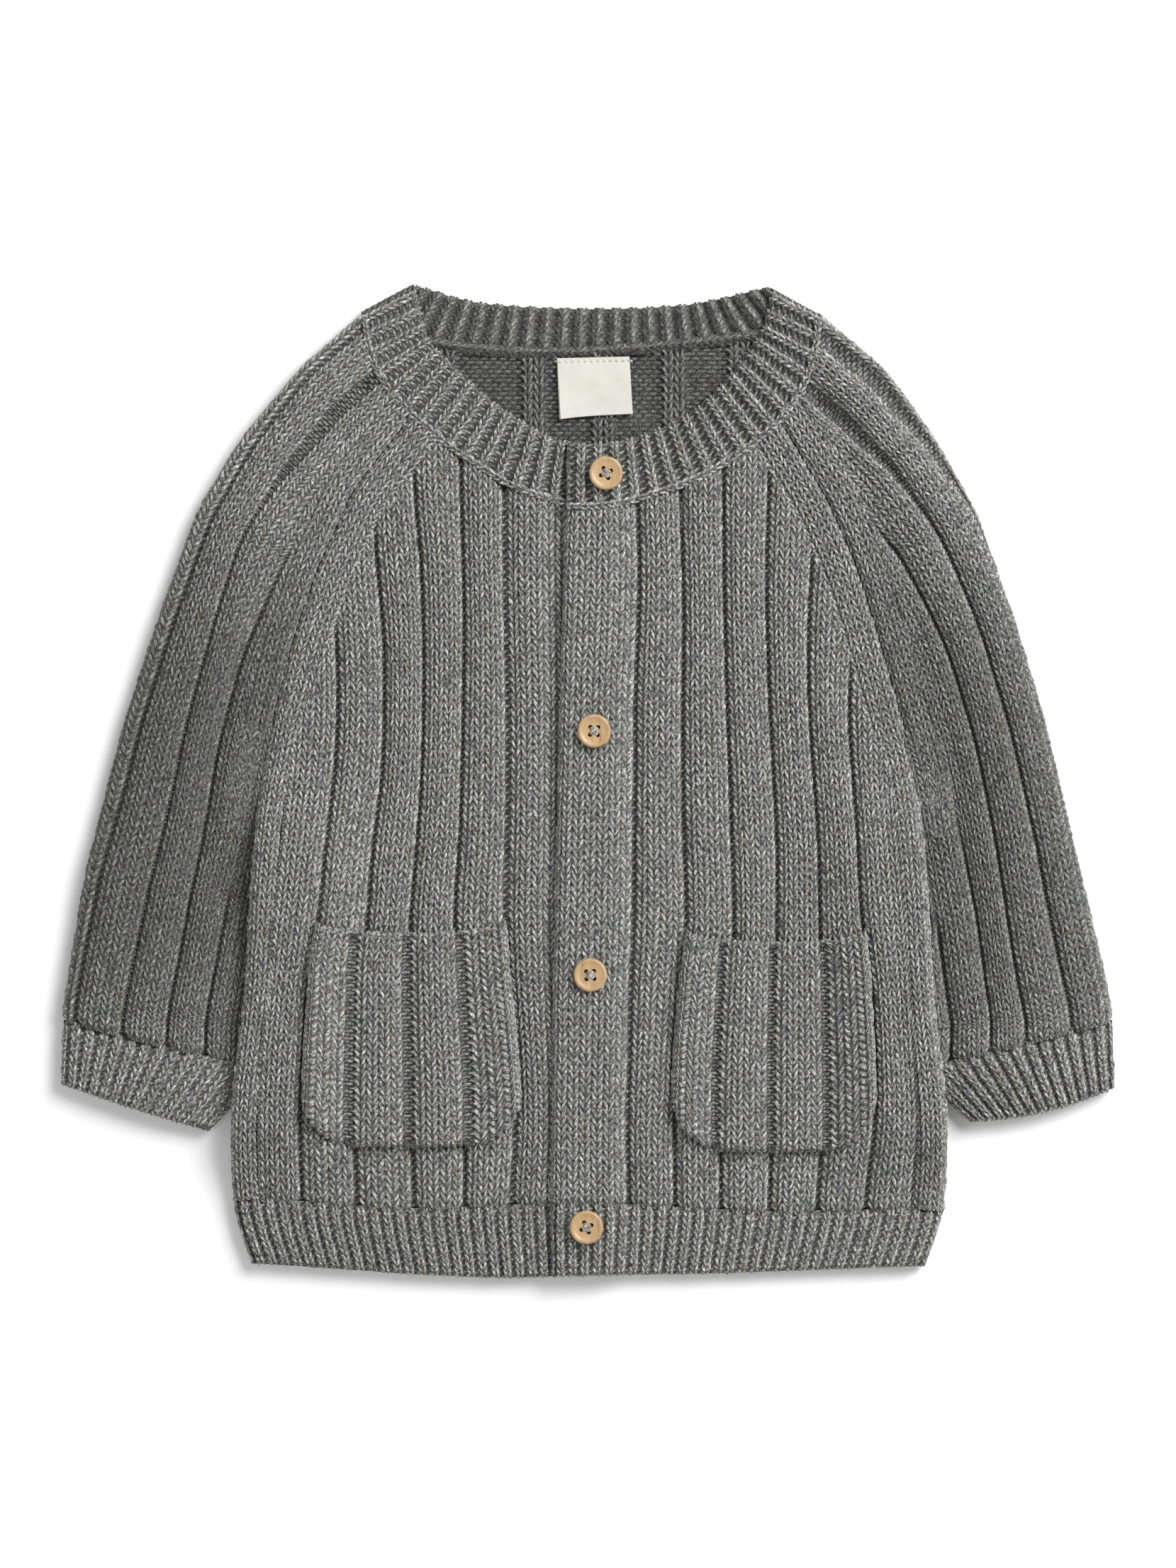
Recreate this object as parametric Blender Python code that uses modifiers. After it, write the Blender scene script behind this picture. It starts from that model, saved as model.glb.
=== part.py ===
"""A hand-framed baby cardigan in a chunky four by two rib, buttoned up and laid flat, front up.

The back, the lower halves of the sleeves and the back of the neckband lie on the surface. The fronts and
the upper halves of the sleeves lie on them, and the sides of the body lie over the sleeves' inner edges.
Tables and sizes are in millimetres: +X is the wearer's left, +Y runs to the neck, and Z = 0 is the surface.
"""

import math

import bmesh
import bpy

MM = 0.001

# ---------------------------------------------------------------- sizes of the cloth

WALL = 3.0  # thickness of the knitting between its ribs
LAYER_GAP = 0.3  # between one layer and the next, and at a seam
HALF_SEAM = 0.2  # each piece stops this far short of its seam line
RIB_RISE = 1.2  # a body rib stands this far above the wall
BAND_RISE = 0.9  # a rib of the neckband, cuffs and hem
GAP_HALF = 0.021  # half of a gap between ribs, as a share of the half width
SIDE_ROUND = 3.2  # radius of the folded side of the body
SLEEVE_LIFT = 6.8  # the body's sides lie this high over the sleeves
SEAM_BAND = 11.0  # plain wales beside a raglan seam, where no gap runs
TOP_LAYER = WALL + LAYER_GAP  # underside of the fronts above the underside of the back
OVERLAP_RAISE = WALL + LAYER_GAP  # the upper front lies this much higher where it laps the lower one

# Half width of the body. Columns: height Y, half width.
BODY_SIDE = (
    (-170, 112.0), (-164, 113.6), (-154, 117.8), (-147, 120.0), (-131, 121.3), (-110, 121.0),
    (-92, 119.0), (-73, 116.5), (-35, 114.5), (-8, 112.2), (3, 110.3), (22, 106.5), (170, 106.5),
)
# The seam between the body and its hem band. Columns: X, height Y.
HEM_SEAM = ((-122, -141.0), (-62, -145.5), (0, -143.0), (62, -146.5), (122, -145.0))
# The lower edge of the hem band. Columns: X, height Y.
HEM_EDGE = ((-114, -163.4), (-62, -167.0), (-31, -168.3), (0, -167.2), (41, -166.8), (114, -164.2))
# The free edge of the upper front, down the middle of the body. Columns: height Y, X.
PLACKET_EDGE = ((-170, -12.2), (-141, -12.7), (-60, -11.8), (32, -9.6), (92, -7.7), (120, -7.0))
# How far the middle wales lean to +X on their way up. Columns: height Y, X.
WALE_LEAN = ((-170, -1.1), (-136.6, 0.0), (58, 6.2), (130, 8.5))

# Seam line of the neckband on each front, from the shoulder fold to the middle, and the band's free edge
# beside it. Columns: seam X, seam Y, edge X, edge Y. The fourth and fifth rows meet a raglan seam.
NECK_LEFT_FRONT = (
    (76.9, 153.8, 57.5, 162.5), (74.4, 142.1, 55.4, 151.9), (69.4, 133.2, 52.0, 147.5),
    (60.2, 123.4, 46.0, 140.8), (47.0, 112.5, 34.5, 130.4), (30.2, 101.4, 22.0, 121.8),
    (20.6, 97.2, 15.1, 117.8), (8.6, 93.8, 6.5, 114.9), (-3.0, 92.6, -3.0, 114.3),
)
NECK_RIGHT_FRONT = (
    (78.4, 153.0, 61.0, 161.0), (77.2, 145.5, 58.8, 154.0), (74.4, 134.6, 55.4, 148.4),
    (65.0, 121.3, 49.0, 139.6), (53.0, 111.8, 40.5, 130.4), (42.0, 104.6, 33.0, 124.4),
    (31.0, 99.6, 24.5, 120.2), (14.9, 94.6, 13.0, 116.0), (5.0, 92.4, 5.0, 114.6), (-7.6, 92.4, -7.1, 114.7),
)
# The back of the neckband, from one shoulder fold to the other. Columns as above, in true X. The second
# row and the last but one meet the back's raglan seams.
NECK_BACK = (
    (-68.0, 152.6, -56.0, 167.4), (-56.0, 148.4, -48.0, 164.8), (-42.0, 146.2, -38.0, 162.3),
    (-24.0, 144.8, -22.0, 160.8), (-6.0, 144.6, -5.0, 160.3), (15.0, 146.0, 15.0, 160.4),
    (36.0, 148.0, 34.0, 161.6), (58.0, 150.8, 48.5, 164.6), (69.0, 152.9, 57.5, 167.0),
)
# Shoulder folds of the neckband, seam end then free end.
NECK_FOLD_LEFT = ((-76.6, 159.1), (-59.5, 168.2))
NECK_FOLD_RIGHT = ((78.5, 158.4), (61.9, 167.5))

# Raglan seams below the neckband, down to the underarm, for the front and the back. Columns: outward X, Y.
RAGLAN_FRONT_LEFT = ((79.4, 99.1), (91.4, 72.7), (99.8, 48.7), (106.5, 22.3))
RAGLAN_FRONT_RIGHT = ((80.2, 96.0), (90.0, 74.0), (97.0, 52.0), (108.6, 12.0))
RAGLAN_BACK_LEFT = ((84.0, 88.0), (106.5, 22.3))
RAGLAN_BACK_RIGHT = ((87.0, 88.0), (108.6, 12.0))

# Outer fold of each sleeve, from the neckband to the cuff. Columns: outward X, Y.
SLEEVE_FOLD_LEFT = (
    (76.6, 159.1), (98.4, 139.9), (118.3, 115.9), (132.7, 91.9), (145.9, 55.9), (157.7, 19.9),
    (170.2, -28.1), (178.3, -76.1), (178.8, -102.5),
)
SLEEVE_FOLD_RIGHT = (
    (78.5, 158.4), (100.6, 139.9), (117.6, 115.9), (131.0, 91.9), (144.0, 55.9), (154.8, 19.9),
    (166.1, -28.1), (177.2, -76.1), (178.1, -103.7),
)
# The sleeve's inner edge beside and then under the body. Columns: outward X, Y.
SLEEVE_INNER = ((111.0, 3.0), (112.9, -8.0), (114.7, -30.0), (106.0, -47.0))
SLEEVE_WIDTH = 69.0  # of the flat sleeve, from its outer fold to its seam
SLEEVE_FOLD_RADIUS = 3.8
SLEEVE_DOME = 2.2  # the sleeve's middle stands this much higher than its edges
SLEEVE_EDGE = 14.0  # the sleeve is flat this far from its seam
# The seam between the sleeve and its cuff, and the cuff's edge, outer end then inner end.
CUFF_SEAM = ((178.4, -81.0), (109.5, -98.5))
CUFF_EDGE_LEFT = ((178.8, -102.5), (129.1, -118.3))
CUFF_EDGE_RIGHT = ((178.1, -103.7), (129.4, -115.2))

# Patch pockets. Columns: share of the way down from mouth to corner, X of one side, X of the other.
POCKET_SIDES_LEFT = ((0.0, -92.2, -28.3), (0.25, -94.6, -27.0), (0.75, -96.4, -24.2), (1.0, -97.0, -23.0))
POCKET_SIDES_RIGHT = ((0.0, 33.1, 93.4), (0.25, 31.0, 95.0), (0.75, 28.6, 96.6), (1.0, 28.1, 97.0))
POCKET_GAPS = (0.213, 0.486, 0.759)  # rib gaps, as shares of the pocket's width

BUTTON_DIAMETER = 11.4
BUTTON_HEIGHT = 2.4
BUTTON_HOLE = 1.45  # diameter
BUTTON_HOLES_APART = 2.6
# Columns: X, Y, underside Z and turn of each button, in degrees.
BUTTONS = (
    (5.7, 104.4, 10.85, -20.0), (1.7, 17.2, 11.15, -2.0), (0.4, -65.3, 11.15, 3.0), (-0.9, -150.6, 10.85, -21.0),
)


# ---------------------------------------------------------------- scene and materials

for old in list(bpy.data.objects):
    bpy.data.objects.remove(old)

cardigan = bpy.data.collections.new("baby_cardigan")
cutters = bpy.data.collections.new("cutters")
bpy.context.scene.collection.children.link(cardigan)
bpy.context.scene.collection.children.link(cutters)


def material(name, colour, roughness):
    made = bpy.data.materials.new(name)
    made.use_nodes = True
    shader = made.node_tree.nodes["Principled BSDF"]
    shader.inputs["Base Color"].default_value = (*colour, 1.0)
    shader.inputs["Roughness"].default_value = roughness
    shader.inputs["Metallic"].default_value = 0.0
    return made


GREY_KNIT = material("grey_melange_knit", (0.155, 0.16, 0.165), 0.95)
RIB_KNIT = material("grey_rib_knit", (0.13, 0.135, 0.14), 0.95)
POCKET_KNIT = material("grey_pocket_knit", (0.18, 0.185, 0.19), 0.95)
BAMBOO = material("bamboo", (0.66, 0.41, 0.14), 0.5)
SATIN = material("cream_satin", (0.83, 0.8, 0.72), 0.4)


# ---------------------------------------------------------------- curves and heights


def at(table, key):
    """The value in a table of pairs, in straight lines between its rows and on past its ends."""
    rows = sorted(table)
    i = 0
    while i < len(rows) - 2 and key > rows[i + 1][0]:
        i += 1
    (k0, v0), (k1, v1) = rows[i], rows[i + 1]
    return v0 + (v1 - v0) * (key - k0) / (k1 - k0)


def ease(t):
    t = min(max(t, 0.0), 1.0)
    return t * t * (3.0 - 2.0 * t)


def between(a, b, t):
    return tuple(p + (q - p) * t for p, q in zip(a, b))


def rounded_path(path, steps):
    """A path through the given points as a smooth curve, with steps points to each stretch."""
    found = []
    for i in range(len(path) - 1):
        a, b = path[i], path[i + 1]
        before = path[i - 1] if i else (2 * a[0] - b[0], 2 * a[1] - b[1])
        after = path[i + 2] if i + 2 < len(path) else (2 * b[0] - a[0], 2 * b[1] - a[1])
        for k in range(steps):
            t = k / steps
            point = []
            for p0, p1, p2, p3 in zip(before, a, b, after):
                bend = 2 * p0 - 5 * p1 + 4 * p2 - p3
                turn = 3 * p1 - p0 - 3 * p2 + p3
                point.append(p1 + 0.5 * t * (p2 - p0 + t * (bend + t * turn)))
            found.append(tuple(point))
    found.append(path[-1])
    return found


def shifted(path, by):
    """A path moved sideways, to the right of its direction when by is positive."""
    moved = []
    for i, (x, y) in enumerate(path):
        normals = []
        for a, b in ((i - 1, i), (i, i + 1)):
            if 0 <= a and b < len(path):
                dx, dy = path[b][0] - path[a][0], path[b][1] - path[a][1]
                length = math.hypot(dx, dy)
                normals.append((dy / length, -dx / length))
        nx = sum(n[0] for n in normals) / len(normals)
        ny = sum(n[1] for n in normals) / len(normals)
        square = nx * nx + ny * ny
        moved.append((x + by * nx / square, y + by * ny / square))
    return moved


hem_seam = rounded_path(HEM_SEAM, 10)
hem_edge = rounded_path(HEM_EDGE, 10)


def body_x(c, y):
    """X of the wale at c, which runs from -1 at one side of the body to 1 at the other."""
    return c * at(BODY_SIDE, y) + at(WALE_LEAN, y) * (1.0 - abs(c))


def wale_of(x, y):
    lean = at(WALE_LEAN, y)
    half = at(BODY_SIDE, y)
    return (x - lean) / (half - lean) if x > lean else (x - lean) / (half + lean)


def lift(c, y):
    """Height of the back's underside: it rises where the body's side lies over a sleeve."""
    across = ease((abs(c) - 0.60) / 0.26)
    down = ease((8.0 - y) / 34.0)
    up = ease((y + 141.0) / 27.0)
    return SLEEVE_LIFT * across * down * up


def overlap(c):
    """How far the upper front is raised by the lower one under it."""
    return OVERLAP_RAISE * ease((0.16 - c) / 0.115)


# ---------------------------------------------------------------- solids from grids of points


def solid(name, outer, inner, look, ring=False):
    """A wall between two grids of points in millimetres, closed round its edges, or round a tube."""
    rows, columns = len(outer), len(outer[0])
    mesh = bpy.data.meshes.new(name)
    bm = bmesh.new()
    skins = []
    for grid in (outer, inner):
        skins.append([[bm.verts.new([v * MM for v in point]) for point in row] for row in grid])
    steps = columns if ring else columns - 1
    for skin in skins:
        for i in range(rows - 1):
            for j in range(steps):
                k = (j + 1) % columns
                bm.faces.new((skin[i][j], skin[i][k], skin[i + 1][k]))
                bm.faces.new((skin[i][j], skin[i + 1][k], skin[i + 1][j]))
    top, under = skins
    for i in (0, rows - 1):
        for j in range(steps):
            k = (j + 1) % columns
            bm.faces.new((top[i][j], top[i][k], under[i][k], under[i][j]))
    if not ring:
        for j in (0, columns - 1):
            for i in range(rows - 1):
                bm.faces.new((top[i][j], top[i + 1][j], under[i + 1][j], under[i][j]))
    bmesh.ops.recalc_face_normals(bm, faces=bm.faces)
    bmesh.ops.dissolve_limit(bm, angle_limit=math.radians(0.2), verts=bm.verts, edges=bm.edges)
    bmesh.ops.triangulate(bm, faces=bm.faces)
    bm.to_mesh(mesh)
    bm.free()
    mesh.materials.append(look)
    piece = bpy.data.objects.new(name, mesh)
    cardigan.objects.link(piece)
    return piece


# ---------------------------------------------------------------- fronts and back

# Where the gaps between the ribs of each front run, as shares of the half width from the middle.
LEFT_GAPS = (0.277, 0.410, 0.526, 0.640, 0.783, 0.918)
RIGHT_GAPS = (0.107, 0.260, 0.409, 0.547, 0.673, 0.795, 0.926)
UNDER_LAP = -0.155  # past this the lower front is plain, under the upper one
LOWER_EDGE = 0.03  # the lower front ends here, under the upper one
UPPER_EDGE = -0.1  # the upper front ends here, along the buttoning edge
LEVELS = (-130, -122, -114, -104, -88, -70, -52, -36, -27, -18, -9, 0, 8)  # rows that all panels share
ROWS_ABOVE = 5  # rows from the last level to the top of each wale
EDGE_STEPS = (0.0, 0.4, 1.5, SIDE_ROUND)  # columns in from the folded side
MEAN_HALF = 116.0


def side_columns():
    return [1.0 - step / MEAN_HALF for step in EDGE_STEPS]


def rounded(c, full):
    """Thickness of a wall near the folded side of the body."""
    inset = (1.0 - abs(c)) * MEAN_HALF
    if inset >= SIDE_ROUND:
        return full
    thin = 0.6
    return thin + (full - thin) * math.sqrt(max(0.0, 1.0 - (1.0 - inset / SIDE_ROUND) ** 2))


def upper_x(c, y):
    """X on the upper front: its buttoning edge has its own line, and its ribs are the body's."""
    first = RIGHT_GAPS[0]
    if c >= first:
        return body_x(c, y)
    share = (c - UPPER_EDGE) / (first - UPPER_EDGE)
    free = at(PLACKET_EDGE, y)
    return free + (body_x(first, y) - free) * share


def top_of(c, edge, place):
    """Height where the wale at c meets the seam line, a path that runs one way in X."""
    y = 60.0
    for _ in range(40):
        y = 0.5 * y + 0.5 * at(edge, place(c, y))
    return y


def wale_heights(c, edge, place=body_x):
    low = at(hem_seam, place(c, -143.0)) + HALF_SEAM
    high = top_of(c, edge, place)
    rows = [low, *LEVELS]
    rows += [LEVELS[-1] + (high - LEVELS[-1]) * (i + 1) / ROWS_ABOVE for i in range(ROWS_ABOVE)]
    return rows


def columns_through(edge, columns):
    """The columns, with one more through each corner of the seam line that lies between them."""
    low, high = min(columns), max(columns)
    extra = [wale_of(x, y) for x, y in edge]
    kept = [c for c in columns if all(abs(c - e) > 0.006 or abs(c) > 0.96 for e in extra)]
    return sorted(kept + [e for e in extra if low < e < high])


def rib_columns(gaps, sign):
    """Columns of a run of ribs: the middle of each gap, and a shoulder on each side of it."""
    return [sign * gap + step for gap in gaps for step in (-GAP_HALF, 0.0, GAP_HALF)]


def in_gap(c, gaps):
    """1 on a rib and 0 in the middle of a gap between two ribs."""
    return min(min(abs(abs(c) - gap) for gap in gaps) / GAP_HALF, 1.0)


def beyond(point, path):
    """Distance from a point to a path."""
    best = 1e9
    for a, b in zip(path, path[1:]):
        ax, ay = b[0] - a[0], b[1] - a[1]
        t = ((point[0] - a[0]) * ax + (point[1] - a[1]) * ay) / (ax * ax + ay * ay)
        t = min(max(t, 0.0), 1.0)
        best = min(best, math.hypot(point[0] - a[0] - ax * t, point[1] - a[1] - ay * t))
    return best


def outward(path, side):
    return [(x * side, y) for x, y in path]


LEFT_RAGLAN = [(-60.2, 123.4), *outward(RAGLAN_FRONT_LEFT, -1)]
RIGHT_RAGLAN = [(65.0, 121.3), *RAGLAN_FRONT_RIGHT]
# Seam lines along the top of each panel, from -X to +X.
LEFT_TOP = LEFT_RAGLAN[::-1] + [(-x, y) for x, y, _, _ in NECK_LEFT_FRONT[4:]]
RIGHT_TOP = [(x, y) for x, y, _, _ in NECK_RIGHT_FRONT[:3:-1]] + RIGHT_RAGLAN
BACK_TOP = (
    outward(RAGLAN_BACK_LEFT, -1)[::-1] + [(x, y) for x, y, _, _ in NECK_BACK[1:-1]] + [*RAGLAN_BACK_RIGHT]
)


def front_grid(edge, columns, rise, raised):
    """Grids of a front's outer and inner points: rise is 0 to 1 on ribs, raised is the overlap."""
    outer, inner = [], []
    for c in columns:
        out_column, in_column = [], []
        place = upper_x if raised else body_x
        for y in wale_heights(c, edge, place):
            x = place(c, y)
            base = lift(c, y) + TOP_LAYER + (overlap(c) if raised else 0.0)
            height = rounded(c, WALL + RIB_RISE * rise(c, x, y))
            out_column.append((x, y, base + height))
            in_column.append((x, y, base))
        outer.append(out_column)
        inner.append(in_column)
    return outer, inner


def beside_seam(point, path):
    """1 beside a seam and 0 from twice the width of its plain band."""
    return ease(2.0 - beyond(point, path) / SEAM_BAND)


def left_rise(c, x, y):
    if c > UNDER_LAP:
        return 0.0
    return max(in_gap(c, LEFT_GAPS), beside_seam((x, y), LEFT_RAGLAN))


def right_rise(c, x, y):
    return max(in_gap(c, RIGHT_GAPS), beside_seam((x, y), RIGHT_RAGLAN))


left_edge = shifted(LEFT_TOP, HALF_SEAM)
right_edge = shifted(RIGHT_TOP, HALF_SEAM)
back_edge = shifted(BACK_TOP, HALF_SEAM)

RAMP_START = 0.54  # beyond this the fronts and the back share their columns
back_corners = [p for p in back_edge if abs(wale_of(*p)) > RAMP_START]

LEFT_COLUMNS = columns_through(
    left_edge + back_corners,
    [-c for c in side_columns()] + rib_columns(LEFT_GAPS, -1) + [UNDER_LAP, LOWER_EDGE],
)
RIGHT_COLUMNS = columns_through(
    right_edge + back_corners,
    side_columns() + rib_columns(RIGHT_GAPS, 1) + [UPPER_EDGE, -0.02, 0.045, 0.16],
)
solid("front_left", *front_grid(left_edge, LEFT_COLUMNS, left_rise, False), GREY_KNIT)
solid("front_right", *front_grid(right_edge, RIGHT_COLUMNS, right_rise, True), GREY_KNIT)

back_columns = [c for c in LEFT_COLUMNS if c < -RAMP_START] + [c for c in RIGHT_COLUMNS if c > RAMP_START]
flat_corners = [p for p in back_edge if abs(wale_of(*p)) <= RAMP_START]
back_columns = columns_through(flat_corners, back_columns + [-0.4, -0.2, 0.0, 0.2, 0.4])


def back_grid(columns):
    outer, inner = [], []
    for c in columns:
        heights = wale_heights(c, back_edge)
        inner.append([(body_x(c, y), y, lift(c, y) + WALL) for y in heights])
        outer.append([(body_x(c, y), y, lift(c, y) + WALL - rounded(c, WALL)) for y in heights])
    return outer, inner


solid("back", *back_grid(back_columns), GREY_KNIT)


# ---------------------------------------------------------------- hem band

HEM_RIB = 4.4  # pitch of the one by one rib
HEM_ROWS = 3


def hem_columns(start, end):
    """X at the seam of each rib's gap and crest, with 1 on a crest."""
    ribs = round(abs(end - start) / HEM_RIB)
    return [(start + (end - start) * i / (2 * ribs), i % 2) for i in range(2 * ribs + 1)]


def hem_grid(start, end, raised, ribbed):
    outer, inner = [], []
    for x_seam, crest in hem_columns(start, end):
        top = at(hem_seam, x_seam) - HALF_SEAM
        c = wale_of(x_seam, top)
        out_column, in_column = [], []
        for i in range(HEM_ROWS + 1):
            t = i / HEM_ROWS
            y = top + (at(hem_edge, x_seam) - top) * t
            x = body_x(c, y)
            if raised and c < RIGHT_GAPS[0]:
                free = at(PLACKET_EDGE, y)
                share = (x_seam - start) / (body_x(RIGHT_GAPS[0], top) - start)
                x = free + (body_x(RIGHT_GAPS[0], y) - free) * share
            base = TOP_LAYER + (overlap(c) if raised else 0.0)
            rise = BAND_RISE * crest * ribbed(x)
            full = WALL + rise
            out_column.append((x, y, base + rounded(c, full)))
            in_column.append((x, y, base))
        outer.append(out_column)
        inner.append(in_column)
    return outer, inner


def hem_back_grid():
    outer, inner = [], []
    middle = [-0.88 + 0.11 * i for i in range(17)]
    for c in sorted([-s for s in side_columns()] + middle + side_columns()):
        out_column, in_column = [], []
        x_seam = body_x(c, -143.0)
        for i in range(HEM_ROWS + 1):
            top = at(hem_seam, x_seam) - HALF_SEAM
            y = top + (at(hem_edge, x_seam) - top) * i / HEM_ROWS
            out_column.append((body_x(c, y), y, WALL - rounded(c, WALL)))
            in_column.append((body_x(c, y), y, WALL))
        outer.append(out_column)
        inner.append(in_column)
    return outer, inner


seam_left = body_x(-1.0, -141.0)
seam_right = body_x(1.0, -145.0)
free_x = at(PLACKET_EDGE, -143.0)
solid(
    "hem_front_left",
    *hem_grid(seam_left, body_x(LOWER_EDGE, -143.0), False, lambda x: 1.0 if x < free_x - 2.5 else 0.0),
    RIB_KNIT,
)
solid("hem_front_right", *hem_grid(free_x, seam_right, True, lambda x: 1.0), RIB_KNIT)
solid("hem_back", *hem_back_grid(), RIB_KNIT)


# ---------------------------------------------------------------- sleeves

SLEEVE_ROWS = 15
FOLD_ANGLES = (90, 45, 0, -45, -90)  # round the outer fold, from the upper half to the lower
FOLD_START = 4.4  # the neckband's seam crosses the fold's inner side this far down the arm
# Columns of each upper half: place of the top end, counted in corners of its seam line, distance of the
# lower end from the outer fold, and 1 on a rib or 0 in a gap.
SLEEVE_UPPER_LEFT = (
    (1.0, 5.7, 0), (1.3, 8.1, 1), (2.0, 15.5, 1), (2.25, 17.8, 1), (2.5, 20.2, 0), (2.75, 22.6, 1),
    (3.0, 26.0, 1), (3.6, 32.6, 1), (3.85, 35.2, 0), (4.0, 38.0, 1), (5.0, 41.0, 1), (6.0, 44.0, 1),
    (7.0, 46.0, 1), (8.0, 48.3, 0), (9.0, 50.7, 1), (10.0, 55.0, 1), (11.0, 60.5, 1), (12.0, SLEEVE_WIDTH, 1),
)
SLEEVE_UPPER_RIGHT = (
    (1.0, 8.0, 1), (1.2, 11.4, 1), (1.4, 13.8, 0), (1.65, 16.2, 1), (2.0, 20.0, 1), (2.75, 27.0, 1),
    (3.0, 29.4, 0), (3.2, 31.8, 1), (3.7, 39.4, 1), (4.0, 42.0, 0), (5.0, 43.8, 1), (6.0, 45.3, 1),
    (7.0, 46.8, 1), (8.0, 48.3, 1), (9.0, 50.7, 1), (10.0, 55.0, 1), (11.0, 60.5, 1), (12.0, SLEEVE_WIDTH, 1),
)
# Columns of the lower half: place of the top end and distance of the lower end from the fold.
SLEEVE_LOWER = ((1, 12), (2, 22), (3, 36), (4, 44), (5, 48), (6, 52), (7, 58), (8, SLEEVE_WIDTH))


class Fold:
    """The outer fold of a sleeve: points at a distance along it and a distance in from it."""

    def __init__(self, table):
        self.path = rounded_path(table, 8)
        self.lengths = [0.0]
        for a, b in zip(self.path, self.path[1:]):
            self.lengths.append(self.lengths[-1] + math.hypot(b[0] - a[0], b[1] - a[1]))

    def point(self, s, inset):
        i = 0
        while i < len(self.path) - 2 and s > self.lengths[i + 1]:
            i += 1
        spans = []
        for n in (max(i - 1, 0), i, min(i + 1, len(self.path) - 2)):
            a, b = self.path[n], self.path[n + 1]
            length = math.hypot(b[0] - a[0], b[1] - a[1])
            spans.append(((b[0] - a[0]) / length, (b[1] - a[1]) / length))
        t = (s - self.lengths[i]) / (self.lengths[i + 1] - self.lengths[i])
        start, end = between(spans[0], spans[1], 0.5), between(spans[1], spans[2], 0.5)
        dx, dy = between(start, end, min(max(t, 0.0), 1.0))
        x, y = between(self.path[i], self.path[i + 1], t)
        length = math.hypot(dx, dy)
        return x + dy / length * inset, y - dx / length * inset

    def place(self, point):
        """Distance along the fold, and in from it, of a point."""
        low, high = -20.0, self.lengths[-1]
        for _ in range(60):
            thirds = [low + (high - low) * n / 3.0 for n in (1, 2)]
            gaps = [math.dist(self.point(s, 0.0), point) for s in thirds]
            if gaps[0] < gaps[1]:
                high = thirds[1]
            else:
                low = thirds[0]
        return low, math.dist(self.point(low, 0.0), point)

    def meets(self, inset, line):
        """Distance along the fold where its parallel at inset crosses a line, near the cuff."""
        (ax, ay), (bx, by) = line
        low, high = self.lengths[-1] * 0.6, self.lengths[-1] + 40.0
        for _ in range(50):
            middle = (low + high) / 2
            x, y = self.point(middle, inset)
            if y > ay + (by - ay) * (x - ax) / (bx - ax):
                low = middle
            else:
                high = middle
        return low


def path_point(path, place):
    i = min(int(place), len(path) - 2)
    return between(path[i], path[i + 1], place - i)


def sleeve_grid(side, fold, columns, upper_seam, lower_seam, raglan):
    """Grids of a sleeve's outer and inner points, from its upper inner edge round to its lower one."""
    cuff = [(x, y + HALF_SEAM) for x, y in CUFF_SEAM]
    widths = [fold.place(p) for p in upper_seam[3:]]

    def dome(s, inset):
        radius = WALL + LAYER_GAP / 2 + (SLEEVE_FOLD_RADIUS - WALL - LAYER_GAP / 2) * ease(s / 30.0)
        span = at(widths, s) if s < widths[-1][0] else SLEEVE_WIDTH
        across = (span - SLEEVE_EDGE - inset) / (span - SLEEVE_EDGE - radius)
        across = min(max(across, 0.0), 1.0)
        rise = SLEEVE_DOME * math.sin(math.pi * across) * ease(s / 30.0)
        return TOP_LAYER + WALL + (2 * radius - TOP_LAYER - WALL) * across + rise, radius

    def run(start, end):
        """Distances along and in from the fold, from a column's top end to its lower end."""
        s0, inset0 = start
        s1 = fold.meets(end, cuff)
        for i in range(SLEEVE_ROWS + 1):
            t = i / SLEEVE_ROWS
            yield s0 + (s1 - s0) * t, inset0 + (end - inset0) * ease(t)

    outer, inner = [], []
    for place, end, crest in reversed(columns):
        out_column, in_column = [], []
        for s, inset in run(fold.place(path_point(upper_seam, place)), end):
            x, y = fold.point(s, inset)
            height, _ = dome(s, inset)
            hidden = ease((at(BODY_SIDE, y) + 10.0 - x) / 8.0) * ease((20.0 - y) / 14.0)
            rise = RIB_RISE * max(crest, beside_seam((x, y), raglan)) * (1.0 - hidden)
            out_column.append((x * side, y, height + rise))
            in_column.append((x * side, y, height - WALL))
        outer.append(out_column)
        inner.append(in_column)
    for angle in FOLD_ANGLES:
        out_column, in_column = [], []
        cos, sin = math.cos(math.radians(angle)), math.sin(math.radians(angle))
        rise = RIB_RISE if angle == 90 else 0.0
        start = FOLD_START if angle == 90 else 0.5 + 0.9 * (1.0 - cos)
        s1 = fold.meets(0.0, cuff)
        for i in range(SLEEVE_ROWS + 1):
            s = start + (s1 - start) * i / SLEEVE_ROWS
            _, radius = dome(s, 0.0)
            x, y = fold.point(s, radius * (1.0 - cos))
            out_column.append((x * side, y, radius * (1.0 + sin) + rise))
            x, y = fold.point(s, radius - (radius - WALL) * cos)
            in_column.append((x * side, y, radius + (radius - WALL) * sin))
        outer.append(out_column)
        inner.append(in_column)
    for place, end in SLEEVE_LOWER:
        out_column, in_column = [], []
        for s, inset in run(fold.place(path_point(lower_seam, place)), end):
            x, y = fold.point(s, inset)
            out_column.append((x * side, y, 0.0))
            in_column.append((x * side, y, WALL))
        outer.append(out_column)
        inner.append(in_column)
    return outer, inner


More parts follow.
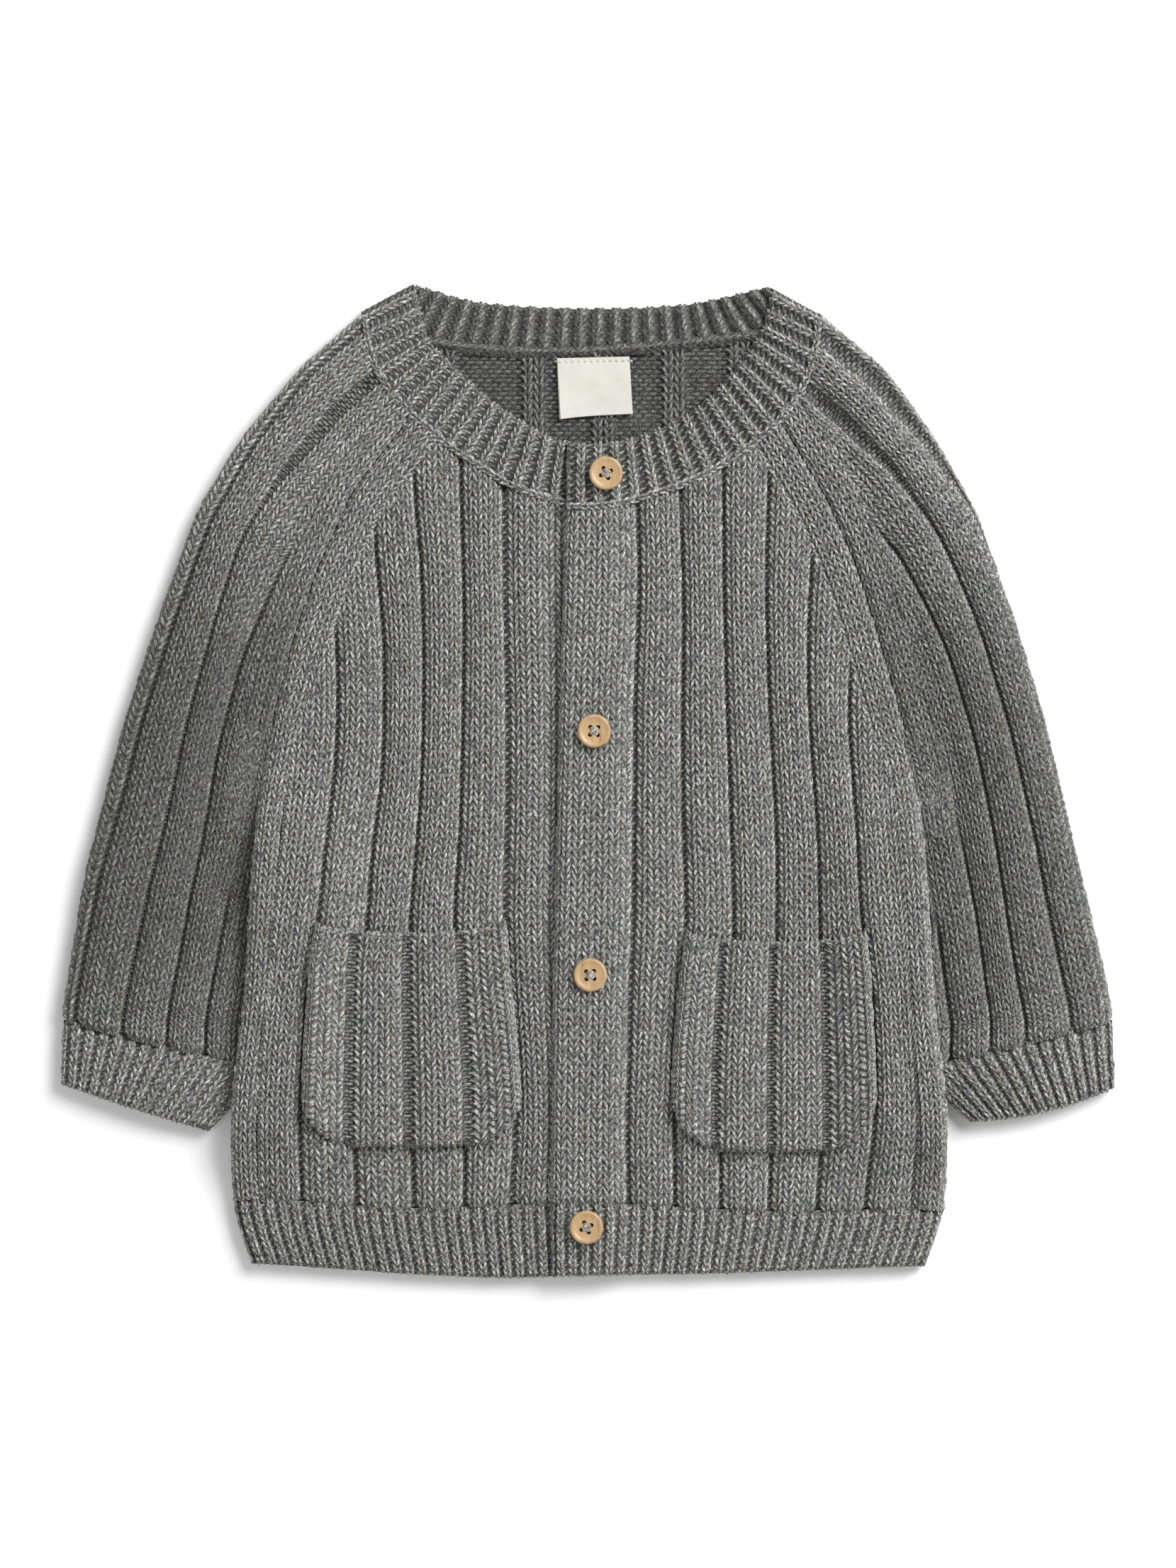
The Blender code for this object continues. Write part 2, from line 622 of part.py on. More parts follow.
def sleeve(name, side, fold_table, columns, fold_end, neck_rows, back_rows, raglan, back_raglan):
    top = [(abs(fold_end[0]), fold_end[1])] + [(x, y) for x, y, _, _ in neck_rows]
    below = [(abs(fold_end[0]), fold_end[1])] + [(abs(x), y) for x, y, _, _ in back_rows]
    upper = shifted(top + [*raglan, *SLEEVE_INNER], -HALF_SEAM)
    lower = shifted(below + [*back_raglan, *SLEEVE_INNER], -HALF_SEAM)
    corner = [top[-1], *raglan]
    solid(name, *sleeve_grid(side, Fold(fold_table), columns, upper, lower, corner), GREY_KNIT)


sleeve(
    "sleeve_left", -1, SLEEVE_FOLD_LEFT, SLEEVE_UPPER_LEFT, NECK_FOLD_LEFT[0], NECK_LEFT_FRONT[:4],
    NECK_BACK[:2], RAGLAN_FRONT_LEFT, RAGLAN_BACK_LEFT,
)
sleeve(
    "sleeve_right", 1, SLEEVE_FOLD_RIGHT, SLEEVE_UPPER_RIGHT, NECK_FOLD_RIGHT[0], NECK_RIGHT_FRONT[:4],
    NECK_BACK[:-3:-1], RAGLAN_FRONT_RIGHT, RAGLAN_BACK_RIGHT,
)


# ---------------------------------------------------------------- cuffs

CUFF_RIBS = 13
CUFF_ROWS = 4
CUFF_DOME = 1.4


def cuff_grid(side, edge, bow):
    """Grids round a flat tube: over the upper half from the inner fold, then back under it."""
    radius = WALL + LAYER_GAP / 2
    stations = []  # share of the width from the outer fold, angle round a fold or None, 1 on a crest
    for i in range(2 * CUFF_RIBS, -1, -1):
        stations.append((i / (2 * CUFF_RIBS), None, i % 2))
    stations += [(0.0, angle, 0) for angle in (45, 0, -45)]
    stations += [(i / 6, "under", 0) for i in range(7)]
    stations += [(1.0, angle, 0) for angle in (-45, 0, 45)]
    outer, inner = [], []
    for share, angle, crest in stations:
        out_column, in_column = [], []
        for i in range(CUFF_ROWS + 1):
            t = i / CUFF_ROWS
            outer_end = between((CUFF_SEAM[0][0], CUFF_SEAM[0][1] - HALF_SEAM), edge[0], t)
            inner_end = between((CUFF_SEAM[1][0], CUFF_SEAM[1][1] - HALF_SEAM), edge[1], t)
            width = math.dist(outer_end, inner_end)
            if angle is None or angle == "under":
                along_out = along_in = radius + (width - 2 * radius) * share
            else:
                turn = math.cos(math.radians(angle))
                toward = -1.0 if share == 0.0 else 1.0
                centre = radius if share == 0.0 else width - radius
                along_out = centre + toward * radius * turn
                along_in = centre + toward * (radius - WALL) * turn
            dome = CUFF_DOME * math.sin(math.pi * share)
            if angle is None:
                x = outer_end[0] + (inner_end[0] - outer_end[0]) * along_out / width
                y = outer_end[1] + (inner_end[1] - outer_end[1]) * along_out / width
                hidden = ease((at(BODY_SIDE, y) + 8.0 - x) / 7.0)
                rise = BAND_RISE * crest * (1.0 - hidden)
                z_out, z_in = 2 * radius + dome * (1.0 - hidden) + rise, TOP_LAYER + dome * (1.0 - hidden)
            elif angle == "under":
                z_out, z_in = 0.0, WALL
            else:
                sin = math.sin(math.radians(angle))
                z_out, z_in = radius * (1.0 + sin), radius + (radius - WALL) * sin
            for along, z, column in ((along_out, z_out, out_column), (along_in, z_in, in_column)):
                x, y = between(outer_end, inner_end, along / width)
                sag = -bow * t * 4.0 * (along / width) * (1.0 - along / width)
                column.append((x * side, y + sag, z))
        outer.append(out_column)
        inner.append(in_column)
    around = [list(row) for row in zip(*outer)]
    within = [list(row) for row in zip(*inner)]
    return around, within


solid("cuff_left", *cuff_grid(-1, CUFF_EDGE_LEFT, 0.6), RIB_KNIT, ring=True)
solid("cuff_right", *cuff_grid(1, CUFF_EDGE_RIGHT, 2.6), RIB_KNIT, ring=True)


# ---------------------------------------------------------------- neckband

BAND_RIB = 6.0  # pitch of the neckband's one by one rib
BAND_COLUMNS = 4


def band_stations(rows, ribbed):
    """Seam point, edge point and crest, twice for each rib, through every row of a table."""
    found = []
    for i in range(len(rows) - 1):
        a, b = rows[i], rows[i + 1]
        length = math.dist(a[:2], b[:2]) / 2 + math.dist(a[2:], b[2:]) / 2
        steps = 2 * max(1, round(length / BAND_RIB)) if ribbed else 2
        for k in range(steps):
            point = between(a, b, k / steps)
            found.append((point[:2], point[2:], k % 2 if ribbed else 0))
    found.append((rows[-1][:2], rows[-1][2:], 0))
    return found


def fold_stations(fold, side):
    """Stations round a shoulder fold: seam point, edge point and angle, from the front to the back."""
    (x0, y0), (x1, y1) = fold
    length = math.dist(*fold)
    nx, ny = (y1 - y0) / length * side, (x1 - x0) / length * -side
    radius = WALL + LAYER_GAP / 2
    found = []
    for angle in FOLD_ANGLES:
        points = []
        for reach in (radius, radius - WALL):
            inset = radius - reach * math.cos(math.radians(angle))
            points.append(((x0 - nx * inset, y0 - ny * inset), (x1 - nx * inset, y1 - ny * inset)))
        found.append((points, math.sin(math.radians(angle))))
    return found


def band_row(seam, edge, z, row):
    """Four points across the band, from just inside its seam line to its free edge."""
    seam = between(seam, edge, HALF_SEAM / math.dist(seam, edge))
    for i in range(BAND_COLUMNS):
        x, y = between(seam, edge, i / (BAND_COLUMNS - 1))
        row.append((x, y, z))


def neckband_grid():
    radius = WALL + LAYER_GAP / 2
    outer, inner = [], []

    def front(stations, raised):
        for seam, edge, crest in stations:
            out_row, in_row = [], []
            middle = between(seam, edge, 0.5)
            base = TOP_LAYER + (overlap(wale_of(*middle)) if raised else 0.0)
            rise = BAND_RISE * crest
            if not raised and seam[0] > -10.0:
                rise = 0.0
            band_row(seam, edge, base + WALL + rise, out_row)
            band_row(seam, edge, base, in_row)
            outer.append(out_row)
            inner.append(in_row)

    def fold(stations):
        for ((out_seam, out_edge), (in_seam, in_edge)), sin in stations:
            out_row, in_row = [], []
            band_row(out_seam, out_edge, radius * (1.0 + sin), out_row)
            band_row(in_seam, in_edge, radius + (radius - WALL) * sin, in_row)
            outer.append(out_row)
            inner.append(in_row)

    left = [(-a, b, -c, d) for a, b, c, d in NECK_LEFT_FRONT]
    front(band_stations(left, True)[::-1], False)
    fold(fold_stations(NECK_FOLD_LEFT, -1))
    for seam, edge, _ in band_stations(NECK_BACK, False):
        out_row, in_row = [], []
        band_row(seam, edge, 0.0, out_row)
        band_row(seam, edge, WALL, in_row)
        outer.append(out_row)
        inner.append(in_row)
    fold(fold_stations(NECK_FOLD_RIGHT, 1)[::-1])
    front(band_stations(NECK_RIGHT_FRONT, True), True)
    return outer, inner


solid("neckband", *neckband_grid(), RIB_KNIT)


# ---------------------------------------------------------------- pockets

POCKET_WALL = 2.8
POCKET_RISE = 0.9
POCKET_ROWS = 6
POCKET_CLEAR = 0.5  # over the tops of the front's ribs
POCKET_CORNER = 0.24  # each lower corner rounds off this share of the width
POCKET_GAP_HALF = 0.043  # half of a gap between a pocket's ribs, as a share of its width
POCKET_COLUMNS = (0.0, 0.03, 0.09, 0.17, 0.213, 0.256, 0.443, 0.486, 0.529, 0.716, 0.759, 0.802, 0.86, 0.93, 0.975, 1.0)


def pocket_grid(sides, mouth, sag, corner, bottom, bow):
    """A patch on a front's ribs. Heights: mouth and its sag, the lower corners, the bottom and its bow."""
    outer, inner = [], []
    for share in POCKET_COLUMNS:
        out_column, in_column = [], []
        across = 4.0 * share * (1.0 - share)
        top = mouth - sag * across**0.5
        turn = min(share, 1.0 - share) / POCKET_CORNER
        round_up = (corner - bottom) * (1.0 - math.sqrt(1.0 - (1.0 - turn) ** 2)) if turn < 1.0 else 0.0
        low = bottom + round_up - bow * across
        gap = min(abs(share - g) for g in POCKET_GAPS) / POCKET_GAP_HALF
        for i in range(POCKET_ROWS + 1):
            y = top + (low - top) * i / POCKET_ROWS
            down = (mouth - y) / (mouth - corner)
            left = at([(d, a) for d, a, _ in sides], min(down, 1.0))
            right = at([(d, b) for d, _, b in sides], min(down, 1.0))
            x = left + (right - left) * share
            base = lift(wale_of(x, y), y) + TOP_LAYER + WALL + RIB_RISE + POCKET_CLEAR
            base += overlap(wale_of(x, y)) if x > 0 else 0.0
            rise = POCKET_RISE * min(gap, 1.0)
            out_column.append((x, y, base + POCKET_WALL + rise))
            in_column.append((x, y, base))
        outer.append(out_column)
        inner.append(in_column)
    return outer, inner


solid("pocket_left", *pocket_grid(POCKET_SIDES_LEFT, -46.8, 4.4, -106.0, -122.6, 1.2), POCKET_KNIT)
solid("pocket_right", *pocket_grid(POCKET_SIDES_RIGHT, -49.5, 4.8, -106.0, -123.9, 1.4), POCKET_KNIT)


# ---------------------------------------------------------------- buttons and label


def button(name, x, y, z, degrees):
    """A turned button with a raised rim and a dished middle, and four holes through it."""
    radius = BUTTON_DIAMETER / 2
    profile = (
        (0.0, 0.0), (radius - 0.9, 0.0), (radius, 0.7), (radius, 1.6), (radius - 0.5, BUTTON_HEIGHT),
        (radius - 1.2, BUTTON_HEIGHT), (radius - 1.8, 1.9), (0.0, 1.9),
    )
    mesh = bpy.data.meshes.new(name)
    mesh.from_pydata([(r * MM, 0.0, h * MM) for r, h in profile], [(i, i + 1) for i in range(7)], [])
    mesh.materials.append(BAMBOO)
    disc = bpy.data.objects.new(name, mesh)
    cardigan.objects.link(disc)
    disc.location = (x * MM, y * MM, z * MM)
    disc.rotation_euler = (0.0, 0.0, math.radians(degrees))
    turn = disc.modifiers.new("turn", "SCREW")
    turn.steps = turn.render_steps = 20
    turn.use_merge_vertices = True
    turn.merge_threshold = 0.00001

    holes = bpy.data.meshes.new(name + "_holes")
    bm = bmesh.new()
    for sx in (-1, 1):
        for sy in (-1, 1):
            made = bmesh.ops.create_cone(
                bm, cap_ends=True, segments=10, radius1=BUTTON_HOLE / 2 * MM, radius2=BUTTON_HOLE / 2 * MM,
                depth=8 * MM,
            )
            apart = BUTTON_HOLES_APART / 2 * MM
            bmesh.ops.translate(bm, verts=made["verts"], vec=(apart * sx, apart * sy, 0.0))
    bm.to_mesh(holes)
    bm.free()
    cutter = bpy.data.objects.new(name + "_holes", holes)
    cutters.objects.link(cutter)
    cutter.location = disc.location
    cutter.rotation_euler = disc.rotation_euler
    cutter.hide_render = True
    cut = disc.modifiers.new("holes", "BOOLEAN")
    cut.object = cutter


for number, place in enumerate(BUTTONS, 1):
    button(f"button_{number}", *place)

LABEL_THICKNESS = 1.0
# The label's ends, left then right. Columns: top X, top Y, bottom X, bottom Y.
LABEL_SIDES = ((-10.8, 143.6, -9.6, 123.2), (13.4, 144.2, 14.6, 124.6))


def label_grid():
    outer, inner = [], []
    for i in range(5):
        share = i / 4
        tx, ty, bx, by = between(*LABEL_SIDES, share)
        bow = 1.6 * share * (1.0 - share)
        ends = ((tx, ty), (bx, by - bow))
        outer.append([(x, y, WALL + LAYER_GAP + LABEL_THICKNESS) for x, y in ends])
        inner.append([(x, y, WALL + LAYER_GAP) for x, y in ends])
    return outer, inner


solid("label", *label_grid(), SATIN)
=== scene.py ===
"""A hand-framed baby cardigan in a chunky four by two rib, buttoned up and laid flat, dressed stitch by stitch.

Sizes in the sections are in millimetres and colours are sRGB hex. +X is the wearer's left, +Y runs to the
neck and Z = 0 is the surface that the cardigan lies on.
"""

import math

import bpy
import numpy as np
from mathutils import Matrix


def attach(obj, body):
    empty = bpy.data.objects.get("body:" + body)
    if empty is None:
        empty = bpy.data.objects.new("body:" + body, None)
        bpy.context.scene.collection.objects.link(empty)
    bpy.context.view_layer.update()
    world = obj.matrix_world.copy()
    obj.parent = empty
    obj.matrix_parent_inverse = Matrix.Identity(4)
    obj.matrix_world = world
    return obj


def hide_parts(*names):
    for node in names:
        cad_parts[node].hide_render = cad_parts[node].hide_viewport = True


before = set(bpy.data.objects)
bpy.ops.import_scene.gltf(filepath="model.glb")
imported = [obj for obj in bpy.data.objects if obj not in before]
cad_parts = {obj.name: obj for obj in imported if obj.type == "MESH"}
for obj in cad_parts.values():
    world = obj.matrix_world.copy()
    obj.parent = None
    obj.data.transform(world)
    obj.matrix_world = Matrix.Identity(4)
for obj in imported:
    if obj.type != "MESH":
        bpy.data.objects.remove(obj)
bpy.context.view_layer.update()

# ---------------------------------------------------------------- camera
# A copy stand: the camera looks straight down from far above the cardigan, through a long lens, so that
# the sides of the ribs are hidden and nothing is foreshortened.

MM = 0.001
VIEW_CENTRE = (-0.36, -0.72)
VIEW_HEIGHT = 530.9  # of the surface that the camera takes in
STAND_HEIGHT = 2600.0  # camera above the cloth
CLOTH_HEIGHT = 8.0
SENSOR = 36.0


def placed(name, data):
    """A new object in the scene."""
    made = bpy.data.objects.new(name, data)
    bpy.context.scene.collection.objects.link(made)
    return made


lens = bpy.data.cameras.new("stand_camera")
lens.sensor_fit = "VERTICAL"
lens.sensor_height = SENSOR
lens.lens = SENSOR * STAND_HEIGHT / VIEW_HEIGHT
camera = placed("stand_camera", lens)
camera.location = (VIEW_CENTRE[0] * MM, VIEW_CENTRE[1] * MM, (STAND_HEIGHT + CLOTH_HEIGHT) * MM)
bpy.context.scene.camera = camera
bpy.context.scene.view_settings.view_transform = "Standard"

# ---------------------------------------------------------------- yarn
# Two-ply wool and cotton melange, spun from dark, mid and pale grey fibres with a few coloured ones. The
# plies catch the light in short slanting streaks, and the loose fibres give the cloth a dull, soft bloom.

STREAKS = 7.0  # fibre bundles across one leg of a stitch, about 0.2 mm each
TWIST = 5.0  # how far the bundles slant, in bundles for each wale
FLECK = 0.9  # size of a patch of one shade of fibre
FUZZ = 0.3  # size of the loose fibres' roughness


def linear(colour):
    parts = [int(colour[i:i + 2], 16) / 255.0 for i in (1, 3, 5)]
    return tuple(p / 12.92 if p <= 0.04045 else ((p + 0.055) / 1.055) ** 2.4 for p in parts) + (1.0,)


def add(tree, kind, inputs=None, stops=(), **settings):
    """A node with its settings and links, and with the colours of its ramp where it has one."""
    made = tree.nodes.new(kind)
    for key, value in settings.items():
        setattr(made, key, value)
    for socket, value in (inputs or {}).items():
        if isinstance(value, bpy.types.NodeSocket):
            tree.links.new(value, made.inputs[socket])
        else:
            made.inputs[socket].default_value = value
    if stops:
        colours = made.color_ramp.elements
        while len(colours) < len(stops):
            colours.new(0.5)
        for element, (position, colour) in zip(colours, stops):
            element.position, element.color = position, linear(colour)
    return made


def blank(name):
    """A new material, its node tree and the places of the points that it covers."""
    made = bpy.data.materials.new(name)
    made.use_nodes = True
    return made, made.node_tree, add(made.node_tree, "ShaderNodeTexCoord").outputs["Object"]


def coat(tree, colour, bump, settings):
    """The material's shader, with its colour, its relief and its settings."""
    shader = tree.nodes["Principled BSDF"]
    tree.links.new(colour, shader.inputs["Base Color"])
    tree.links.new(bump.outputs["Normal"], shader.inputs["Normal"])
    for socket, value in settings.items():
        shader.inputs[socket].default_value = value


def yarn(name, dark, middle, pale, hollow_shade=0.9):
    """Melange yarn: dark, middle and pale fibres, and how strongly painted shade darkens the hollows between legs.
    """
    made, tree, place = blank(name)
    stitch = add(tree, "ShaderNodeUVMap", uv_map="stitch")
    slant = add(tree, "ShaderNodeMapping", {
        "Vector": stitch.outputs["UV"], "Scale": (TWIST, STREAKS, 1.0), "Rotation": (0.0, 0.0, math.radians(16.0)),
    })
    streaks = add(tree, "ShaderNodeTexNoise", {
        "Vector": slant.outputs["Vector"], "Scale": 1.0, "Detail": 2.0, "Roughness": 0.6,
    })
    flecks = add(tree, "ShaderNodeTexNoise", {
        "Vector": place, "Scale": 1.0 / (FLECK * MM), "Detail": 2.0, "Roughness": 0.65,
    })
    tints = add(tree, "ShaderNodeTexNoise", {
        "Vector": place, "Scale": 0.25 / (FLECK * MM), "Detail": 1.0,
    })
    mixed = add(tree, "ShaderNodeMath", {
        0: flecks.outputs["Fac"], 1: streaks.outputs["Fac"],
    }, operation="ADD")
    halved = add(tree, "ShaderNodeMath", {0: mixed.outputs[0], 1: 0.5}, operation="MULTIPLY")
    shades = add(tree, "ShaderNodeValToRGB", {"Fac": halved.outputs[0]},
                 stops=((0.395, dark), (0.49, middle), (0.59, pale)))
    tint = add(tree, "ShaderNodeValToRGB", {"Fac": tints.outputs["Fac"]},
               stops=((0.32, "#a9b2b8"), (0.42, "#ffffff"), (0.58, "#ffffff"), (0.7, "#cbbda8")))
    tinted = add(tree, "ShaderNodeMix", {
        0: 0.6, 6: shades.outputs["Color"], 7: tint.outputs["Color"],
    }, data_type="RGBA", blend_type="MULTIPLY")
    # Painted shade: the hollow attribute mixes the colour towards near black #161615 in the hollows between legs.
    depth = add(tree, "ShaderNodeAttribute", attribute_name="hollow_shade")
    shade = add(tree, "ShaderNodeMath", {0: depth.outputs["Fac"], 1: hollow_shade}, operation="MULTIPLY")
    hollow_shaded = add(tree, "ShaderNodeMix", {
        0: shade.outputs[0], 6: tinted.outputs[2], 7: linear("#161615"),
    }, data_type="RGBA", blend_type="MIX")
    fuzz = add(tree, "ShaderNodeTexNoise", {
        "Vector": place, "Scale": 1.0 / (FUZZ * MM), "Detail": 2.0,
    })
    height = add(tree, "ShaderNodeMath", {
        0: streaks.outputs["Fac"], 1: 1.6, 2: fuzz.outputs["Fac"],
    }, operation="MULTIPLY_ADD")
    bump = add(tree, "ShaderNodeBump", {
        "Height": height.outputs[0], "Distance": 0.16 * MM, "Strength": 1.0,
    })
    coat(tree, hollow_shaded.outputs[2], bump, {
        "Roughness": 0.85, "IOR": 1.5, "Specular IOR Level": 0.35, "Sheen Weight": 0.25, "Sheen Roughness": 0.5,
    })
    return made


# ---------------------------------------------------------------- right front
# The upper front, with the buttonhole edge. It is knitted in ribs of four plain wales with two purl wales
# that fold away between them, and four plain wales run along its side and its raglan seam.

COURSE = 2.67  # height of a row of stitches
LEG_RISE = 1.3  # courses that a leg of a stitch climbs from the middle of its wale to the side
RELIEF = 0.95  # height of a leg above the hollow beside it
WALL, TOP_LAYER, RIB_RISE = 3.0, 3.3, 1.2
CROWN = WALL + RIB_RISE
RIB_GAP = 0.036  # half of the closed fold between two ribs, as a share of a rib
LEVELS = (99.1, 75.1, 51.1, 27.1, 3.1, -20.9, -44.9, -68.9, -92.9, -116.9, -140.9)
# X of each fold between ribs, at the heights above.
RIGHT_FOLDS = (
    (16.3, 17.5, 16.8, 15.6, 15.8, 15.4, 15.4, 14.2, 13.9, 13.0, 13.7),
    (31.2, 31.9, 32.4, 31.9, 31.9, 32.4, 33.4, 32.2, 30.5, 29.0, 29.3),
    (45.8, 45.8, 46.3, 46.8, 48.0, 48.5, 49.7, 48.2, 46.3, 44.6, 44.9),
    (61.2, 60.2, 60.5, 61.4, 62.6, 64.1, 63.8, 63.6, 63.1, 62.4, 61.2),
    (76.6, 75.8, 74.2, 74.6, 76.1, 78.2, 78.2, 79.0, 79.7, 79.9, 77.3),
    (91.4, 90.7, 90.0, 87.8, 89.3, 91.2, 91.9, 96.0, 97.0, 97.4, 93.6),
    (104.9, 104.9, 104.9, 104.4, 103.0, 104.6, 107.0, 108.5, 109.9, 111.6, 109.4),
)
BODY_SIDE = (
    (-170, 112.0), (-164, 113.6), (-154, 117.8), (-147, 120.0), (-131, 121.3), (-110, 121.0),
    (-92, 119.0), (-73, 116.5), (-35, 114.5), (-8, 112.2), (3, 110.3), (22, 106.5), (170, 106.5),
)
PLACKET_EDGE = ((-170, -12.2), (-141, -12.7), (-60, -11.8), (32, -9.6), (92, -7.7), (120, -7.0))
HEM_SEAM = ((-122, -141.0), (-62, -145.5), (0, -143.0), (62, -146.5), (122, -145.0))
NECK_RIGHT_FRONT = (
    (78.4, 153.0, 61.0, 161.0), (77.2, 145.5, 58.8, 154.0), (74.4, 134.6, 55.4, 148.4),
    (65.0, 121.3, 49.0, 139.6), (53.0, 111.8, 40.5, 130.4), (42.0, 104.6, 33.0, 124.4),
    (31.0, 99.6, 24.5, 120.2), (14.9, 94.6, 13.0, 116.0), (5.0, 92.4, 5.0, 114.6), (-7.6, 92.4, -7.1, 114.7),
)
RAGLAN_RIGHT = ((65.0, 121.3), (80.2, 96.0), (90.0, 74.0), (97.0, 52.0), (108.6, 12.0))


STEP = 0.5  # between the points of a smooth curve


def smooth(keys, table_keys, values, spread):
    """Values at the keys, which are STEP apart, rounded off over a distance of about spread."""
    margin = int(3 * spread / STEP)
    weights = np.exp(-0.5 * (np.arange(-margin, margin + 1) * STEP / spread) ** 2)
    padded = np.pad(np.interp(keys, table_keys, values), margin, mode="reflect", reflect_type="odd")
    return np.convolve(padded, weights / weights.sum(), mode="valid")


def smooth_table(table, spread):
    """A table of pairs as a dense smooth curve that np.interp reads."""
    rows = np.array(sorted(table), float)
    keys = np.arange(rows[0, 0], rows[-1, 0] + STEP, STEP)
    return keys, smooth(keys, rows[:, 0], rows[:, 1], spread)


def blend(grid, i, j, a, b):
    """A value between four neighbours in a grid, at shares a and b of the way to the next ones."""
    low = grid[i, j] * (1 - a) + grid[i + 1, j] * a
    high = grid[i, j + 1] * (1 - a) + grid[i + 1, j + 1] * a
    return low * (1 - b) + high * b


def ease(t):
    t = np.clip(t, 0.0, 1.0)
    return t * t * (3.0 - 2.0 * t)


class Line:
    """A smooth line through points in plan: places at a distance along it and to its right."""

    def __init__(self, points, spread=4.0, tail=30.0):
        pts = np.array(points, float)
        first, last = pts[0] - pts[1], pts[-1] - pts[-2]
        pts = np.vstack([pts[0] + first / np.hypot(*first) * tail, pts, pts[-1] + last / np.hypot(*last) * tail])
        gone = np.concatenate([[0.0], np.cumsum(np.hypot(*np.diff(pts, axis=0).T))])
        s = np.arange(0.0, gone[-1], STEP)
        self.x, self.y = (smooth(s, gone, pts[:, axis], spread) for axis in range(2))
        self.s = np.concatenate([[0.0], np.cumsum(np.hypot(np.diff(self.x), np.diff(self.y)))])
        self.s -= np.interp(tail, s, self.s)
        self.length = gone[-1] - 2 * tail
        dx, dy = np.gradient(self.x), np.gradient(self.y)
        size = np.hypot(dx, dy)
        self.nx, self.ny = dy / size, -dx / size

    def point(self, s, inset):
        x = np.interp(s, self.s, self.x) + inset * np.interp(s, self.s, self.nx)
        return x, np.interp(s, self.s, self.y) + inset * np.interp(s, self.s, self.ny)

    def find(self, x, y):
        """Distance along the line, and to its right, of places in plan."""
        x, y = np.asarray(x, float), np.asarray(y, float)
        flat = np.stack([x.ravel(), y.ravel()], 1)
        along, aside = np.empty(len(flat)), np.empty(len(flat))
        for i in range(0, len(flat), 20000):
            part = flat[i:i + 20000]
            near = ((part[:, :1] - self.x) ** 2 + (part[:, 1:] - self.y) ** 2).argmin(axis=1)
            dx, dy = part[:, 0] - self.x[near], part[:, 1] - self.y[near]
            along[i:i + 20000] = self.s[near] - (dx * self.ny[near] - dy * self.nx[near])
            aside[i:i + 20000] = dx * self.nx[near] + dy * self.ny[near]
        return along.reshape(x.shape), aside.reshape(x.shape)


class Folds:
    """Smooth curves across a cloth, read at a strand number that may lie between two of them."""

    def __init__(self, keys, rows, spread=9.0):
        self.keys = smooth_table(list(zip(keys, rows[0])), spread)[0]
        self.rows = np.array([smooth_table(list(zip(keys, row)), spread)[1] for row in rows])

    def at(self, strand, key):
        i = np.clip(np.floor(strand), 0, len(self.rows) - 2).astype(int)
        j = (np.clip(key, self.keys[0], self.keys[-1]) - self.keys[0]) / STEP
        j0 = np.minimum(j.astype(int), len(self.keys) - 2)
        return blend(self.rows, i, j0, strand - i, j - j0)


def turned(inset, radius, drop):
    """Where cloth that rolls over an edge lies: distance in from the edge in plan, and how far down."""
    arc = 0.5 * math.pi * np.sqrt((radius ** 2 + drop ** 2) / 2)
    angle = np.clip(inset / arc, 0.0, 1.0) * math.pi / 2
    plan = np.where(inset < arc, radius * (1.0 - np.cos(angle)), radius + inset - arc)
    return plan, drop * (1.0 - np.sin(angle))


def extra(radius, drop):
    """How much longer rolled cloth is than its width in plan."""
    return 0.5 * math.pi * math.sqrt((radius ** 2 + drop ** 2) / 2) - radius


def reach(place, q, start, stop, inside):
    """For each wale, how far it runs from start before it leaves the inside of its panel."""
    step = 0.4 if stop > start else -0.4
    v = np.arange(start, stop, step)
    grid_v, grid_q = np.meshgrid(v, q, indexing="ij")
    room = inside(*place(grid_q, grid_v)[:2])
    out = room < 0.0
    first = np.maximum(np.where(out.any(axis=0), out.argmax(axis=0), len(v) - 1), 1)
    columns = np.arange(len(q))
    a, b = room[first - 1, columns], room[first, columns]
    return v[first - 1] + np.clip(a / np.where(a - b == 0, 1, a - b), 0.0, 1.0) * step


def wander(seed, count, size, spacing, length):
    """Slow random curves, one for each of count strands, as a function of the strand and distance."""
    knots = int(length / spacing) + 4
    values = np.random.default_rng(seed).normal(0.0, size, (count + 1, knots))

    def value(strand, v):
        i, j = np.clip(strand, 0, count - 1e-6), np.clip(v / spacing, 0, knots - 1.001)
        i0, j0 = i.astype(int), j.astype(int)
        return blend(values, i0, j0, ease(i - i0), ease(j - j0))

    return value


LEG_ROWS = (0.0, 0.2, 0.5, 0.8)  # rows of points across one leg
# Columns of points across a wale, as share of its width and of the way out from its middle.
PLAIN = ((0, 1), (1 / 6, 2 / 3), (1 / 3, 1 / 3), (1 / 2, 0), (2 / 3, 1 / 3), (5 / 6, 2 / 3), (1, 1))
PURL = ((0, 1), (1 / 4, 1), (1 / 2, 1), (3 / 4, 1), (1, 1))
CREASE = ((0, 1), (1 / 2, 1), (1, 1))
FLAT = ((0, 1), (1, 1))
CREASE_SHARE = 0.35  # how much of a purl wale's relief is left in a closed fold
UNEVEN = 0.14  # spread in the fullness of single legs
STRAY_ALONG, STRAY_ASIDE = 0.15, 0.13  # spread in the places of single stitches
PURL_RISE = 0.6  # how much taller a purl bump is than a leg
SUNK = 0.55  # share of a stitch that lies below the middle of the cloth
TUCK_LENGTH = 2.6  # over which a panel turns down into its seam


def wales_at(marks, kind):
    return [(a, b, kind) for a, b in zip(marks, marks[1:])]


